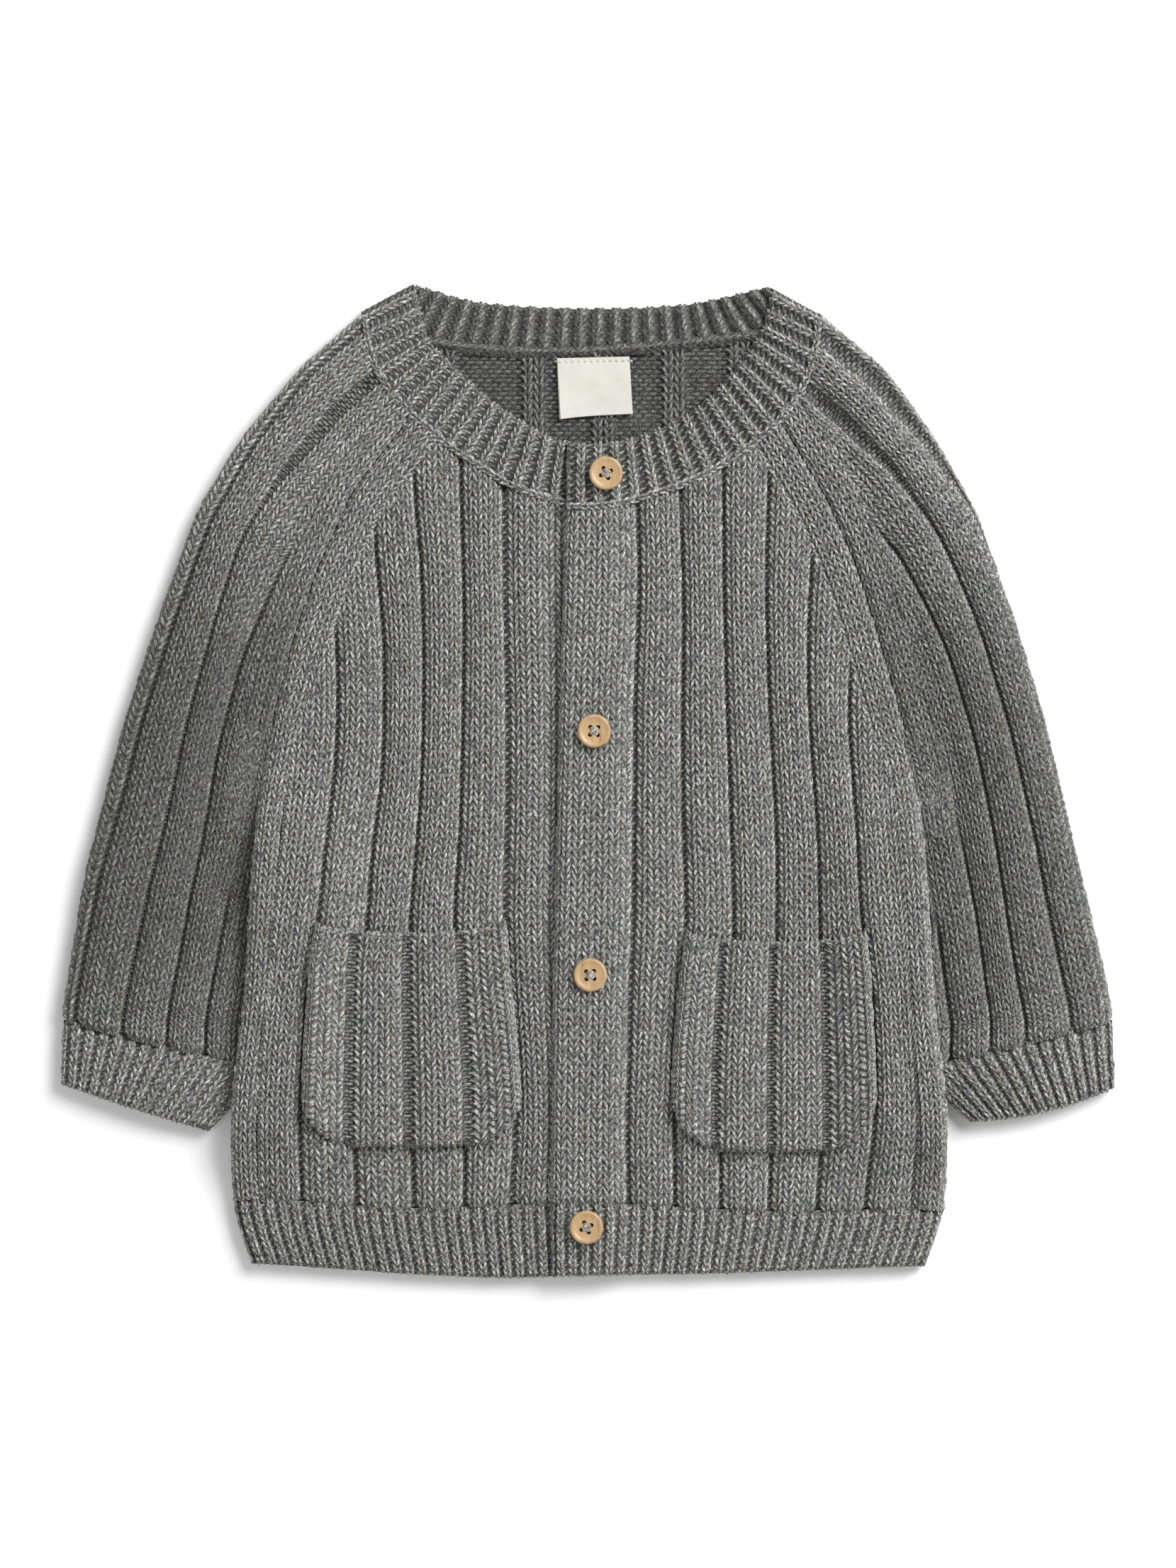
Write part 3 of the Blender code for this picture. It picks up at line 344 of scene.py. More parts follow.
def knit(skin, wales, low, high, seed, course=COURSE, relief=RELIEF, tuck=(0.0, 0.0), dark=1.0, flip=False):
    """A patch of knitting. skin(q, v) is the cloth's surface; wales are (start, end, kind) across it,
    and each runs from low to high. Returns points, faces, stitch coordinates and painted hollow shade."""
    rng = np.random.default_rng(seed)
    q, t, u, plain, purl = [], [], [], [], []
    for n, (a, b, kind) in enumerate(wales):
        for share, leg in kind[0 if n == 0 else 1:]:
            q.append(a + (b - a) * share)
            t.append(leg)
            u.append(n + share)
            plain.append(1.0 if kind is PLAIN else 0.0)
            purl.append(1.0 if kind is PURL else CREASE_SHARE if kind is CREASE else 0.0)
    q, t, u, plain, purl = (np.array(k, float) for k in (q, t, u, plain, purl))
    low_q, high_q = (
        np.broadcast_to(np.asarray(end(q) if callable(end) else end, float), q.shape) for end in (low, high))
    coarse = not (plain.any() or purl.any())
    legs = (0.0,) if coarse else LEG_ROWS
    rise = 0.0 if coarse else LEG_RISE
    start = -int(math.ceil(rise))
    courses = int(math.ceil((high_q - low_q).max() / course)) + 1
    r = np.array([k + f for k in range(start, courses + 1) for f in legs])
    k = np.floor(r + 1e-9).astype(int) - start
    f = (r - np.floor(r + 1e-9))[:, None]
    halves = 2 * len(wales)
    place = np.clip(u * 2 - 0.5, 0, halves - 1)
    nearest = np.abs(place - np.arange(halves)[:, None])
    weights = np.clip(1.0 - nearest, 0.0, 1.0)
    weights = np.where(np.abs(nearest - 0.5) < 0.05, 0.5, np.round(weights))
    weights /= weights.sum(axis=0)
    tall = rng.normal(1.0, UNEVEN, (k.max() + 2, halves)).clip(0.6, 1.4) @ weights
    shove = rng.normal(0.0, STRAY_ALONG, (k.max() + 2, halves)) @ weights
    push = rng.normal(0.0, STRAY_ASIDE, (k.max() + 2, halves)) @ weights
    v = low_q + (r[:, None] + rise * (t - 1.0)) * course
    v = v + (shove[k] * (1 - f) + shove[k + 1] * f) * plain
    v = np.clip(v, low_q, high_q)
    grid_q = np.broadcast_to(q, v.shape)
    step_q, step_v = 1e-3 * abs(q[-1] - q[0]) / max(len(q) - 1, 1) + 1e-6, 0.02
    point = np.stack(skin(grid_q, v), -1)
    across = np.stack(skin(grid_q + step_q, v), -1) - np.stack(skin(grid_q - step_q, v), -1)
    along = np.stack(skin(grid_q, v + step_v), -1) - np.stack(skin(grid_q, v - step_v), -1)
    normal = np.cross(across, along) * (-1.0 if flip else 1.0)
    normal /= np.linalg.norm(normal, axis=-1, keepdims=True) + 1e-12
    side = across / (np.linalg.norm(across, axis=-1, keepdims=True) + 1e-12)
    swell = np.sqrt(np.clip(1.0 - (2.0 * f - 1.0) ** 2, 0.0, 1.0))
    full = np.sin(np.pi * np.clip(t, 0.0, 1.0)) ** 0.6
    pinch = 0.6 * (1.0 - full)
    leg = np.clip((swell - pinch) / (1.0 - pinch), 0.0, 1.0) * (0.25 + 0.75 * full) * tall[k]
    apart = np.linalg.norm(np.diff(point, axis=1), axis=-1)
    apart = np.minimum(*(np.pad(apart, ((0, 0), ends), mode="edge") for ends in ((1, 0), (0, 1))))
    # Purl bumps vanish where their wale is folded away.
    purl = purl * np.where(purl > 0.9, ease((apart - 0.15) / 0.35), 1.0)
    half_row = np.sqrt(np.clip(1.0 - (2.0 * ((2.0 * f) % 1.0) - 1.0) ** 2, 0.0, 1.0))
    dash = np.where(f < 0.45, np.abs(np.cos(np.pi * u)), np.abs(np.sin(np.pi * u))) ** 0.7
    bump = half_row * (0.08 + 0.92 * dash) * tall[k]
    cover = leg * plain + bump * purl
    height = relief * (1.0 + PURL_RISE * purl) * (cover - SUNK * np.maximum(plain, purl))
    height = height - 0.3 * (1.0 - full) * plain
    for depth, gone in zip(tuck, (v - low_q, high_q - v)):
        height = height - depth * (1.0 - ease(gone / TUCK_LENGTH))
    point = point + normal * height[..., None] + side * (push[k] * plain * full)[..., None]
    rows, columns = v.shape
    index = np.arange(rows * columns).reshape(rows, columns)
    still = v[1:] - v[:-1] < 1e-6
    keep = ~(still[:, :-1] & still[:, 1:])
    faces = np.stack([index[:-1, :-1], index[:-1, 1:], index[1:, 1:], index[1:, :-1]], -1)[keep]
    if flip:
        faces = faces[:, ::-1]
    stitches = np.stack([np.broadcast_to(u, v.shape), np.broadcast_to(r[:, None], v.shape)], -1)
    # Painted shade: where legs and purl bumps cover little, in the hollows between them, each point gets a shade
    # that darkens the yarn's colour; dark scales it.
    hollow_shade = 1.0 + 0.2 * purl - np.clip(cover / np.maximum(np.maximum(plain, purl), 0.3), 0, 1)
    hollow_shade = np.broadcast_to(np.minimum(hollow_shade, 1.0), v.shape)
    if coarse:
        stitches = np.stack([np.broadcast_to(u, v.shape), (v - low_q) / course], -1)
        hollow_shade = np.zeros(v.shape)
    return point.reshape(-1, 3), faces, stitches.reshape(-1, 2), dark * hollow_shade.ravel()


def piece(name, patches, look):
    """One object from patches of cloth, with its stitch coordinates and the painted shade of its hollows."""
    points, faces, stitches, hollow_shades, count = [], [], [], [], 0
    for p, f, s, h in patches:
        used, where = np.unique(f, return_inverse=True)
        points.append(p[used])
        faces.append(where.reshape(f.shape) + count)
        stitches.append(s[used])
        hollow_shades.append(h[used])
        count += len(used)
    points, faces, stitches = np.vstack(points), np.vstack(faces), np.vstack(stitches)
    mesh = bpy.data.meshes.new(name)
    mesh.vertices.add(len(points))
    mesh.vertices.foreach_set("co", (points * MM).ravel())
    mesh.loops.add(faces.size)
    mesh.loops.foreach_set("vertex_index", faces.ravel().astype(np.int32))
    mesh.polygons.add(len(faces))
    mesh.polygons.foreach_set("loop_start", np.arange(0, faces.size, 4, dtype=np.int32))
    mesh.polygons.foreach_set("loop_total", np.full(len(faces), 4, dtype=np.int32))
    mesh.polygons.foreach_set("use_smooth", np.ones(len(faces), dtype=bool))
    mesh.update()
    layer = mesh.uv_layers.new(name="stitch")
    layer.data.foreach_set("uv", stitches[faces.ravel()].ravel())
    # The painted shade of the hollows goes to the material as a point attribute.
    tone = mesh.attributes.new("hollow_shade", "FLOAT", "POINT")
    tone.data.foreach_set("value", np.concatenate(hollow_shades).astype(np.float32))
    mesh.materials.append(look)
    made = placed(name, mesh)
    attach(made, "root")
    return made


SIDE_ROLL = (3.4, 4.3)  # radius in plan and depth of the folded side
PLACKET_ROLL = (2.0, 4.2)
RAGLAN_ROLL = (1.7, 2.6)
STRIP = 13.4  # four plain wales beside a raglan seam
SEAM_TUCK = (1.7, 0.9)  # how far a panel turns down into the seam at its lower and upper end
SIDE_LIFT = 6.8  # how high the body's sides lie over the sleeves
OVERLAP_RISE = 3.3  # how high the upper front lies over the lower one
SEAM_LAP = 1.1  # how far a panel runs under the wales beside its raglan seam
SIDE_ROOM = 8.5  # width that the wales along the side take below the underarm
RIGHT_UNDERARM, HEM_LEVEL = 12.0, -141.0
side_curve = smooth_table(BODY_SIDE, 5.0)
placket_curve = smooth_table(PLACKET_EDGE, 5.0)
hem_curve = smooth_table(HEM_SEAM, 6.0)


def half_width(y):
    return np.interp(y, *side_curve)


def lift(x, y):
    """The body's sides lie over the sleeves' inner edges and rise where they do."""
    c = np.abs(x) / half_width(y)
    return SIDE_LIFT * ease((c - 0.60) / 0.26) * ease((8.0 - y) / 34.0) * ease((y - HEM_LEVEL) / 27.0)


def overlap(x):
    """How far the upper front is raised by the lower one under it."""
    return OVERLAP_RISE * ease((18.0 - x) / 12.5)


def rib_depth(q):
    """Depth below a rib's crown, where the folds lie at whole numbers: flat on top, round at its sides."""
    away = np.abs(q - np.round(q))
    s = np.minimum((0.5 - away) / (0.5 - RIB_GAP), 1.0)
    return 0.45 * s ** 2 + 1.95 * np.abs(s) ** 5 + 1.35 * ease((RIB_GAP - away) / RIB_GAP)


def rib_wales(k):
    """Plain wales across rib k; the outer two turn down into the folds and look narrower."""
    return wales_at([k + RIB_GAP + (1.0 - 2 * RIB_GAP) * share for share in (0.0, 0.23, 0.5, 0.77, 1.0)], PLAIN)


def folds_open(aside):
    """The folds close up before the plain wales beside a raglan seam."""
    return ease((-aside - 9.0) / 6.0)


def seam_dip(q):
    """How far those wales turn down to the panel beside them."""
    return 0.8 * ease((q - 9.6) / 3.8) ** 2


def on_raglan(y, underarm):
    return ease((y - underarm + 8.0) / 22.0)


def side_path(raglan):
    """Along the folded side of the body, up to the underarm and on along the raglan seam."""
    return Line([(half_width(y), y) for y in range(-142, int(raglan[-1][1]) - 4, 4)] + list(raglan[::-1]))


def strip_width(y, underarm):
    return SIDE_ROOM + (STRIP - extra(*RAGLAN_ROLL) - SIDE_ROOM) * on_raglan(y, underarm)


right_side = side_path(RAGLAN_RIGHT)
right_neck = Line([(x, y) for x, y, _, _ in NECK_RIGHT_FRONT[::-1]], spread=3.0)
edge_rows = [np.interp(k, *placket_curve) for k in LEVELS]
side_rows = [half_width(k) for k in LEVELS]
keys = [140.0, *LEVELS, -150.0]
right_rows = [[row[0], *row, row[-1]] for row in (edge_rows, *RIGHT_FOLDS, side_rows)]
right_folds = Folds(keys, right_rows)
right_swell = wander(11, 10, 0.3, 16.0, 320.0)


def right_skin(q, y):
    """q is -1 at the buttonhole edge, 0 to 6 at the folds between ribs and 7 at the side."""
    x = right_folds.at(q + 1.0, y)
    free = np.interp(y, *placket_curve)
    width = right_folds.at(np.ones_like(y), y) - free
    plan, down = turned((q + 1.0) * width + extra(*PLACKET_ROLL), *PLACKET_ROLL)
    on_edge = q < 0.0
    x = np.where(on_edge, free + plan, x)
    depth = rib_depth(q) * folds_open(right_side.find(x, y)[1])
    depth = np.where(on_edge, depth * ease((q + 0.2) / 0.2) + down, depth)
    z = lift(x, y) + TOP_LAYER + overlap(x) + CROWN - depth
    return x, y, z + right_swell(q + 2.0, y + 150.0)


def strip_skin(side_line, underarm, sign):
    """The plain wales along a side and its raglan seam: q runs from the lowest point of the side."""

    def skin(q, v):
        height = np.interp(v, side_line.s, side_line.y)
        raglan = on_raglan(height, underarm)
        radius, drop = [side + (seam - side) * raglan for side, seam in zip(SIDE_ROLL, RAGLAN_ROLL)]
        plan, down = turned(q, radius, drop)
        x, y = side_line.point(v, -plan)
        sunk = 1.75 * (1.0 - raglan) * ease((q - SIDE_ROOM) / 5.0) ** 2 + raglan * seam_dip(q)
        return x * sign, y, lift(x, y) + TOP_LAYER + CROWN - down - sunk

    return skin


def strip_top(side_line, neck_line):
    def place(q, v):
        return side_line.point(v, -np.maximum(q - 1.0, 0.0))

    def top(q):
        return reach(place, q, side_line.length - 60.0, side_line.length + 20.0,
                     lambda x, y: neck_line.find(x, y)[1])

    return top


def body_bottom(x):
    return np.interp(x, *hem_curve) - 0.4


def panel_bottom(folds, shift):
    return lambda q: body_bottom(folds.at(q + shift, np.full_like(q, HEM_LEVEL)))


def panel_top(skin, side_line, neck_line, underarm):
    def inside(x, y):
        _, below_neck = neck_line.find(x, y)
        _, aside = side_line.find(np.abs(x), y)
        return np.minimum(below_neck + 0.6, -aside - strip_width(y, underarm) + SEAM_LAP)

    return lambda q: reach(skin, q, -20.0, 140.0, inside)


# Seven plain wales make the buttonhole edge, whose last fold is narrower than the others.
EDGE_GAP = 0.6 * RIB_GAP
STRIP_WALES = wales_at([STRIP * i / 4 for i in range(5)], PLAIN)
right_wales = wales_at(np.linspace(-1.0 - extra(*PLACKET_ROLL) / 26.0, -EDGE_GAP, 8), PLAIN)
for k in range(7):
    right_wales.append((k - (RIB_GAP if k else EDGE_GAP), k + RIB_GAP, CREASE))
    if k < 6:
        right_wales += rib_wales(k)

wool = yarn("grey_melange_wool_knitted", "#3b3c3b", "#939491", "#e3e2dd")
front_right = piece("knit_front_right", [
    knit(right_skin, right_wales, panel_bottom(right_folds, 1.0),
         panel_top(right_skin, right_side, right_neck, RIGHT_UNDERARM), seed=3, tuck=SEAM_TUCK),
    knit(strip_skin(right_side, RIGHT_UNDERARM, 1.0), STRIP_WALES, -3.6, strip_top(right_side, right_neck),
         seed=4, flip=True),
], wool)
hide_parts("front_right")

# ---------------------------------------------------------------- left front
# The lower front, with the buttons' band under the other front's edge. It is knitted as the right front
# is, and its ribs fall where the body's ribs fall on that side.

# X of each fold between ribs, from the side to the middle, at the same heights.
LEFT_FOLDS = (
    (-100.1, -100.1, -100.1, -100.1, -101.8, -103.9, -106.6, -108.5, -111.1, -111.8, -111.6),
    (-86.6, -86.6, -85.7, -84.5, -85.9, -89.0, -91.0, -95.3, -96.5, -97.9, -97.2),
    (-72.7, -72.0, -69.1, -69.1, -69.4, -73.2, -74.6, -77.5, -78.7, -79.4, -78.5),
    (-59.3, -56.6, -55.9, -55.9, -56.4, -58.1, -60.5, -61.0, -60.5, -59.8, -59.0),
    (-43.2, -42.5, -42.0, -42.5, -43.0, -43.7, -45.8, -44.6, -43.0, -41.5, -42.0),
    (-28.8, -28.8, -28.3, -27.6, -27.6, -27.8, -28.8, -27.6, -25.7, -24.5, -26.6),
)
NECK_LEFT_FRONT = (
    (76.9, 153.8, 57.5, 162.5), (74.4, 142.1, 55.4, 151.9), (69.4, 133.2, 52.0, 147.5),
    (60.2, 123.4, 46.0, 140.8), (47.0, 112.5, 34.5, 130.4), (30.2, 101.4, 22.0, 121.8),
    (20.6, 97.2, 15.1, 117.8), (8.6, 93.8, 6.5, 114.9), (-3.0, 92.6, -3.0, 114.3),
)
RAGLAN_LEFT = ((60.2, 123.4), (79.4, 99.1), (91.4, 72.7), (99.8, 48.7), (106.5, 22.3))
BAND_END = 4.0  # the lower front ends here, under the upper one
LEFT_UNDERARM = 22.3

left_side = side_path(RAGLAN_LEFT)
left_neck = Line([(-x, y) for x, y, _, _ in NECK_LEFT_FRONT], spread=3.0)
left_rows = [[-value for value in side_rows], *LEFT_FOLDS, [BAND_END] * len(LEVELS)]
left_folds = Folds(keys, [[row[0], *row, row[-1]] for row in left_rows])
left_swell = wander(12, 10, 0.3, 16.0, 320.0)


def under_other(x):
    """0 where the left front is free and 1 where it lies pressed flat under the right one."""
    return ease((x + 17.0) / 4.0)


def left_skin(q, y):
    """q is 0 at the side, 1 to 6 at the folds between ribs and 7 at the end under the other front."""
    x = left_folds.at(q, y)
    depth = np.where(q > 6.5, 0.3, rib_depth(q)) * folds_open(left_side.find(-x, y)[1])
    z = lift(x, y) + TOP_LAYER + CROWN - depth - RIB_RISE * under_other(x)
    return x, y, z + left_swell(q, y + 150.0) * ease((-12.0 - x) / 4.0)


left_wales = []
for k in range(1, 7):
    left_wales.append((k - RIB_GAP, k + RIB_GAP, CREASE))
    left_wales += rib_wales(k) if k < 6 else (
        wales_at((6.036, 6.14, 6.27, 6.4, 6.53, 6.66), PLAIN) + wales_at((6.66, 6.83, 7.0), FLAT))

front_left = piece("knit_front_left", [
    knit(left_skin, left_wales, panel_bottom(left_folds, 0.0),
         panel_top(left_skin, left_side, left_neck, LEFT_UNDERARM), seed=5, tuck=SEAM_TUCK),
    knit(strip_skin(left_side, LEFT_UNDERARM, -1.0), STRIP_WALES, 0.0,
         strip_top(left_side, Line([(x, y) for x, y, _, _ in NECK_LEFT_FRONT[::-1]], spread=3.0)), seed=6),
], wool)
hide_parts("front_left")

# ---------------------------------------------------------------- back
# One panel under both fronts. Its purl side shows inside the neck, with the backs of the folded purl
# wales as pairs of plain ones, and its plain side lies on the surface.

NECK_BACK = (
    (-68.0, 152.6, -56.0, 167.4), (-56.0, 148.4, -48.0, 164.8), (-42.0, 146.2, -38.0, 162.3),
    (-24.0, 144.8, -22.0, 160.8), (-6.0, 144.6, -5.0, 160.3), (15.0, 146.0, 15.0, 160.4),
    (36.0, 148.0, 34.0, 161.6), (58.0, 150.8, 48.5, 164.6), (69.0, 152.9, 57.5, 167.0),
)
RAGLAN_BACK_LEFT = ((-106.5, 22.3), (-84.0, 88.0), (-56.0, 148.4))
RAGLAN_BACK_RIGHT = ((58.0, 150.8), (87.0, 88.0), (108.6, 12.0))
INSIDE_PLAIN = (-49.0, -18.9, 4.8, 28.8, 51.0)  # X of each pair of plain wales inside the neck
BACK_ROLL = (3.2, 3.1)
INSIDE_SHADE = 0.55  # painted shade: how much darker the inner face is painted, deep inside the neck
INSIDE_PITCH, INSIDE_WIDE = 3.4, 3.9  # of its purl wales and of its plain ones
BACK_SPAN = 118.0  # half of the lower edge, from side to side

back_neck = Line([(x, y) for x, y, _, _ in NECK_BACK[1:-1]], spread=3.0)
back_left, back_right = Line(RAGLAN_BACK_LEFT, spread=3.0), Line(RAGLAN_BACK_RIGHT, spread=3.0)
inside_swell = wander(21, 12, 0.35, 12.0, 120.0)


def shaded(patch, amount):
    """The same patch with more painted shade: amount gives how much darker it is painted, from the places of its
    points.
    """
    points, faces, stitches, hollow_shades = patch
    return points, faces, stitches, 1.0 - (1.0 - hollow_shades) * (1.0 - amount(points))


def inside_skin(x, y):
    pair = np.min([np.abs(x - centre) for centre in INSIDE_PLAIN], axis=0)
    return x, y, 3.05 + 0.75 * ease((5.2 - pair) / 1.6) + inside_swell((x + 70.0) / 12.0, y - 60.0)


def back_neck_height(x):
    return np.interp(x, back_neck.x, back_neck.y) + 1.0


def under_skin(q, y):
    """The plain side of the back: q is -1 and 1 at the folded sides, where it turns up to the fronts."""
    half = half_width(y)
    plan, up = turned((1.0 - np.abs(q)) * half + extra(*BACK_ROLL), *BACK_ROLL)
    x = np.sign(q) * (half - plan)
    return x, y, lift(x, y) + up


def under_top(q):
    def inside(x, y):
        return np.min([line.find(x, y)[1] for line in (back_left, back_right, back_neck)], axis=0)

    return reach(under_skin, q, 0.0, 160.0, inside)


inside_wales = []
starts = [-62.0] + [x + INSIDE_WIDE for x in INSIDE_PLAIN]
ends = [x - INSIDE_WIDE for x in INSIDE_PLAIN] + [62.0]
for a, b in zip(starts, ends):
    inside_wales += wales_at(np.linspace(a, b, max(1, round((b - a) / INSIDE_PITCH)) + 1), PURL)
    if b < 60.0:
        inside_wales += wales_at((b, b + INSIDE_WIDE, b + 2 * INSIDE_WIDE), PLAIN)
edge = 1.0 + extra(*BACK_ROLL) / 116.0
turn_up = [edge - step for step in (0.0, 0.012, 0.024, 0.036)]  # closer marks, where the cloth turns up
back_wales = wales_at([*(-m for m in turn_up), *np.linspace(-edge + 0.06, edge - 0.06, 60), *turn_up[::-1]], FLAT)
back = piece("knit_back", [
    # Painted shade: the inner face inside the neck is painted darker.
    shaded(knit(inside_skin, inside_wales, 86.0, back_neck_height, seed=21, course=3.0, relief=1.3),
           lambda points: INSIDE_SHADE),
    knit(under_skin, back_wales, lambda q: body_bottom(q * BACK_SPAN), under_top, seed=22, flip=True),
], wool)
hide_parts("back")

# ---------------------------------------------------------------- hem band
# A one by one rib, linked to the fronts and the back and knitted a little tighter than they are, so that
# it draws in. Its lower edge rolls under slightly.

HEM_EDGE = ((-114, -163.4), (-62, -167.0), (-31, -168.3), (0, -167.2), (41, -166.8), (114, -164.2))
HEM_RIB = 4.35  # pitch
BAND_COURSE = 2.35
BAND_RISE = 0.9
BAND_HOLLOW_SHADE = 0.86  # strength of the painted shade in the bands' hollows, beside that of the body's
HEM_ROLL = (1.3, 3.2)
HEM_BACK_ROLL = (1.3, 3.0)
HEM_MIDDLE = -143.0  # height on the garment at which the band's length is taken
SEAM_OVERLAP = 1.2  # how far a band runs up behind the cloth that it is linked to
BAND_RELIEF = 0.85
NO_ROLL = (0.001, 0.0)
hem_edge_curve = smooth_table(HEM_EDGE, 6.0)


def spread(q, length, left, right, rolls):
    """Across a band that rolls over its two sides: the place between left and right, and how far down."""
    scale = (right - left) / (length - extra(*rolls[0]) - extra(*rolls[1]))
    left_plan, left_down = turned(q, *rolls[0])
    right_plan, right_down = turned(length - q, *rolls[1])
    place = np.where(q < length / 2, left + left_plan * scale, right - right_plan * scale)
    return place, np.maximum(left_down, right_down)


def band_wales(length, pitch, share=0.76):
    """One by one rib: a plain wale that takes most of the pitch, and a purl wale sunk beside it."""
    count = max(1, round(length / pitch))
    step = length / count
    found = []
    for i in range(count):
        found += [(step * i, step * (i + share), PLAIN), (step * (i + share), step * (i + 1), CREASE)]
    return found


def band_depth(q, length, pitch, share=0.76):
    count = max(1, round(length / pitch))
    frac = (q / length * count) % 1.0
    s = np.clip(np.abs(frac - share / 2) / (share / 2), 0.0, 1.0)
    groove = ease(1.0 - np.abs(frac - share / 2 - 0.5) / ((1.0 - share) / 2))
    return 0.2 * s ** 2 + 0.8 * s ** 4 + 0.7 * groove


def joined(*downs):
    return np.sqrt(sum(np.square(d) for d in downs))


def upper_level(x):
    return TOP_LAYER + overlap(x)


def lower_level(x):
    return TOP_LAYER - BAND_RISE * under_other(x)


def hem_rise(along):
    return body_bottom(along) - np.interp(along, *hem_edge_curve)


def hem_band(left, right, rolls, base, seed):
    """The hem of a front whose two ends lie at left(y) and right(y), over cloth as high as base(x)."""
    ends = left(HEM_MIDDLE), right(HEM_MIDDLE)
    length = float(ends[1] - ends[0]) + extra(*rolls[0]) + extra(*rolls[1])

    def skin(q, v):
        plan, down = turned(v, *HEM_ROLL)
        y = np.interp(spread(q, length, *ends, rolls)[0], *hem_edge_curve) + plan
        x, side_down = spread(q, length, left(y), right(y), rolls)
        z = base(x) + WALL + BAND_RISE - band_depth(q, length, HEM_RIB)
        return x, y, z - np.minimum(joined(down, side_down), 4.0)

    def top(q):
        return hem_rise(spread(q, length, *ends, rolls)[0]) + extra(*HEM_ROLL) + SEAM_OVERLAP

    return knit(skin, band_wales(length, HEM_RIB), 0.0, top, seed=seed, course=BAND_COURSE, relief=BAND_RELIEF,
                tuck=(0.0, 0.8), dark=BAND_HOLLOW_SHADE)


hem_right = piece("knit_hem_front_right", [hem_band(
    lambda y: np.interp(y, *placket_curve), half_width, (PLACKET_ROLL, SIDE_ROLL), upper_level, 31)], wool)
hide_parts("hem_front_right")
hem_left = piece("knit_hem_front_left", [hem_band(
    lambda y: -half_width(y), lambda y: y * 0.0 + BAND_END, (SIDE_ROLL, NO_ROLL), lower_level, 32)], wool)
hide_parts("hem_front_left")


def hem_back_skin(q, v):
    plan, up = turned(v, *HEM_BACK_ROLL)
    y = np.interp(q * BACK_SPAN, *hem_edge_curve) + plan
    half = half_width(y)
    side_plan, side_up = turned((1.0 - np.abs(q)) * half + extra(*BACK_ROLL), *BACK_ROLL)
    return np.sign(q) * (half - side_plan), y, np.minimum(joined(up, side_up), 3.1)


hem_back = piece("knit_hem_back", [knit(
    hem_back_skin, back_wales, 0.0, lambda q: hem_rise(q * BACK_SPAN) + extra(*HEM_BACK_ROLL),
    seed=33, course=BAND_COURSE / 3, flip=True)], wool)
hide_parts("hem_back")

# ---------------------------------------------------------------- sleeves
# Each sleeve is a tube laid flat. Its ribs run down from the neckband, over the fold of the arm, and four
# plain wales run down beside the raglan seam. The inner edge goes in under the body.

SLEEVE_FOLD_LEFT = (
    (76.6, 159.1), (98.4, 139.9), (118.3, 115.9), (132.7, 91.9), (145.9, 55.9), (157.7, 19.9),
    (170.2, -28.1), (178.3, -76.1), (178.8, -102.5),
)
SLEEVE_FOLD_RIGHT = (
    (78.5, 158.4), (100.6, 139.9), (117.6, 115.9), (131.0, 91.9), (144.0, 55.9), (154.8, 19.9),
    (166.1, -28.1), (177.2, -76.1), (178.1, -103.7),
)
SLEEVE_INNER = ((111.0, 3.0), (112.9, -8.0), (114.7, -30.0), (106.0, -47.0))
SLEEVE_WIDTH = 69.0
SLEEVE_STRIP_ROLL = (2.4, 3.4)
CUFF_SEAM = ((178.4, -81.0), (109.5, -98.5))
FOLD_RADIUS, ARM_FULLNESS = 3.15, 0.65  # of the fold of a flat tube, and what the arm adds to it
DOME = 2.2  # how far the upper half rises between its two edges
NECK_LAP = 0.8  # how far a sleeve runs in under the neckband
OPENING = 3.2  # how many times wider than a closed fold an open one is, less one
# Distance in from the arm's fold of each fold between ribs, at these distances down the arm.
DOWN_ARM = (-20, 0, 32, 56, 80, 104, 128, 152, 176, 200, 224, 248, 290)
LEFT_SLEEVE_FOLDS = (
    (4.2, 4.2, 4.0, 4.8, 5.8, 5.6, 5.6, 6.0, 6.2, 6.0, 5.0, 4.3, 4.4),
    (19.5, 19.5, 18.8, 18.6, 17.6, 17.4, 19.2, 20.2, 22.0, 22.8, 22.4, 21.2, 20.2),
    (35.0, 35.0, 36.8, 35.4, 34.8, 33.2, 31.2, 32.4, 34.2, 36.6, 36.8, 36.2, 35.4),
    (50.0, 50.0, 50.0, 49.0, 48.0, 46.5, 46.0, 46.4, 48.6, 49.8, 49.2, 48.8, 48.6),
    (64.0, 64.0, 64.0, 63.0, 62.0, 61.0, 60.0, 60.0, 62.0, 63.5, 63.0, 62.6, 62.4),
)
RIGHT_SLEEVE_FOLDS = (
    (6.5, 6.5, 5.0, 3.0, 1.6, 0.4, -0.6, -1.6, -2.0, -2.0, -1.6, -1.4, -1.4),
    (22.5, 22.5, 23.0, 17.6, 15.4, 12.9, 12.2, 12.2, 12.4, 12.6, 13.8, 14.2, 13.6),
    (39.5, 39.5, 38.0, 34.5, 31.5, 27.2, 24.7, 24.6, 25.0, 26.0, 28.2, 29.8, 29.2),
    (54.0, 54.0, 52.0, 48.0, 45.5, 41.0, 38.2, 36.6, 36.8, 37.0, 37.8, 40.6, 42.2),
    (68.0, 68.0, 66.0, 62.0, 59.5, 55.0, 51.5, 49.8, 49.8, 50.4, 51.6, 54.0, 55.6),
    (81.0, 81.0, 79.0, 75.0, 72.5, 68.0, 64.5, 62.8, 62.8, 63.4, 64.6, 67.0, 69.0),
)


def folded(arc, radius):
    """Cloth round a fold: distance in from the fold and height, for a distance round it."""
    angle = np.clip(arc / radius, -math.pi / 2, math.pi / 2)
    past = np.maximum(np.abs(arc) - radius * math.pi / 2, 0.0)
    return radius * (1.0 - np.cos(angle)) + past, radius * (1.0 + np.sin(angle))


def fold_radius(s):
    return FOLD_RADIUS + ARM_FULLNESS * ease(s / 30.0)


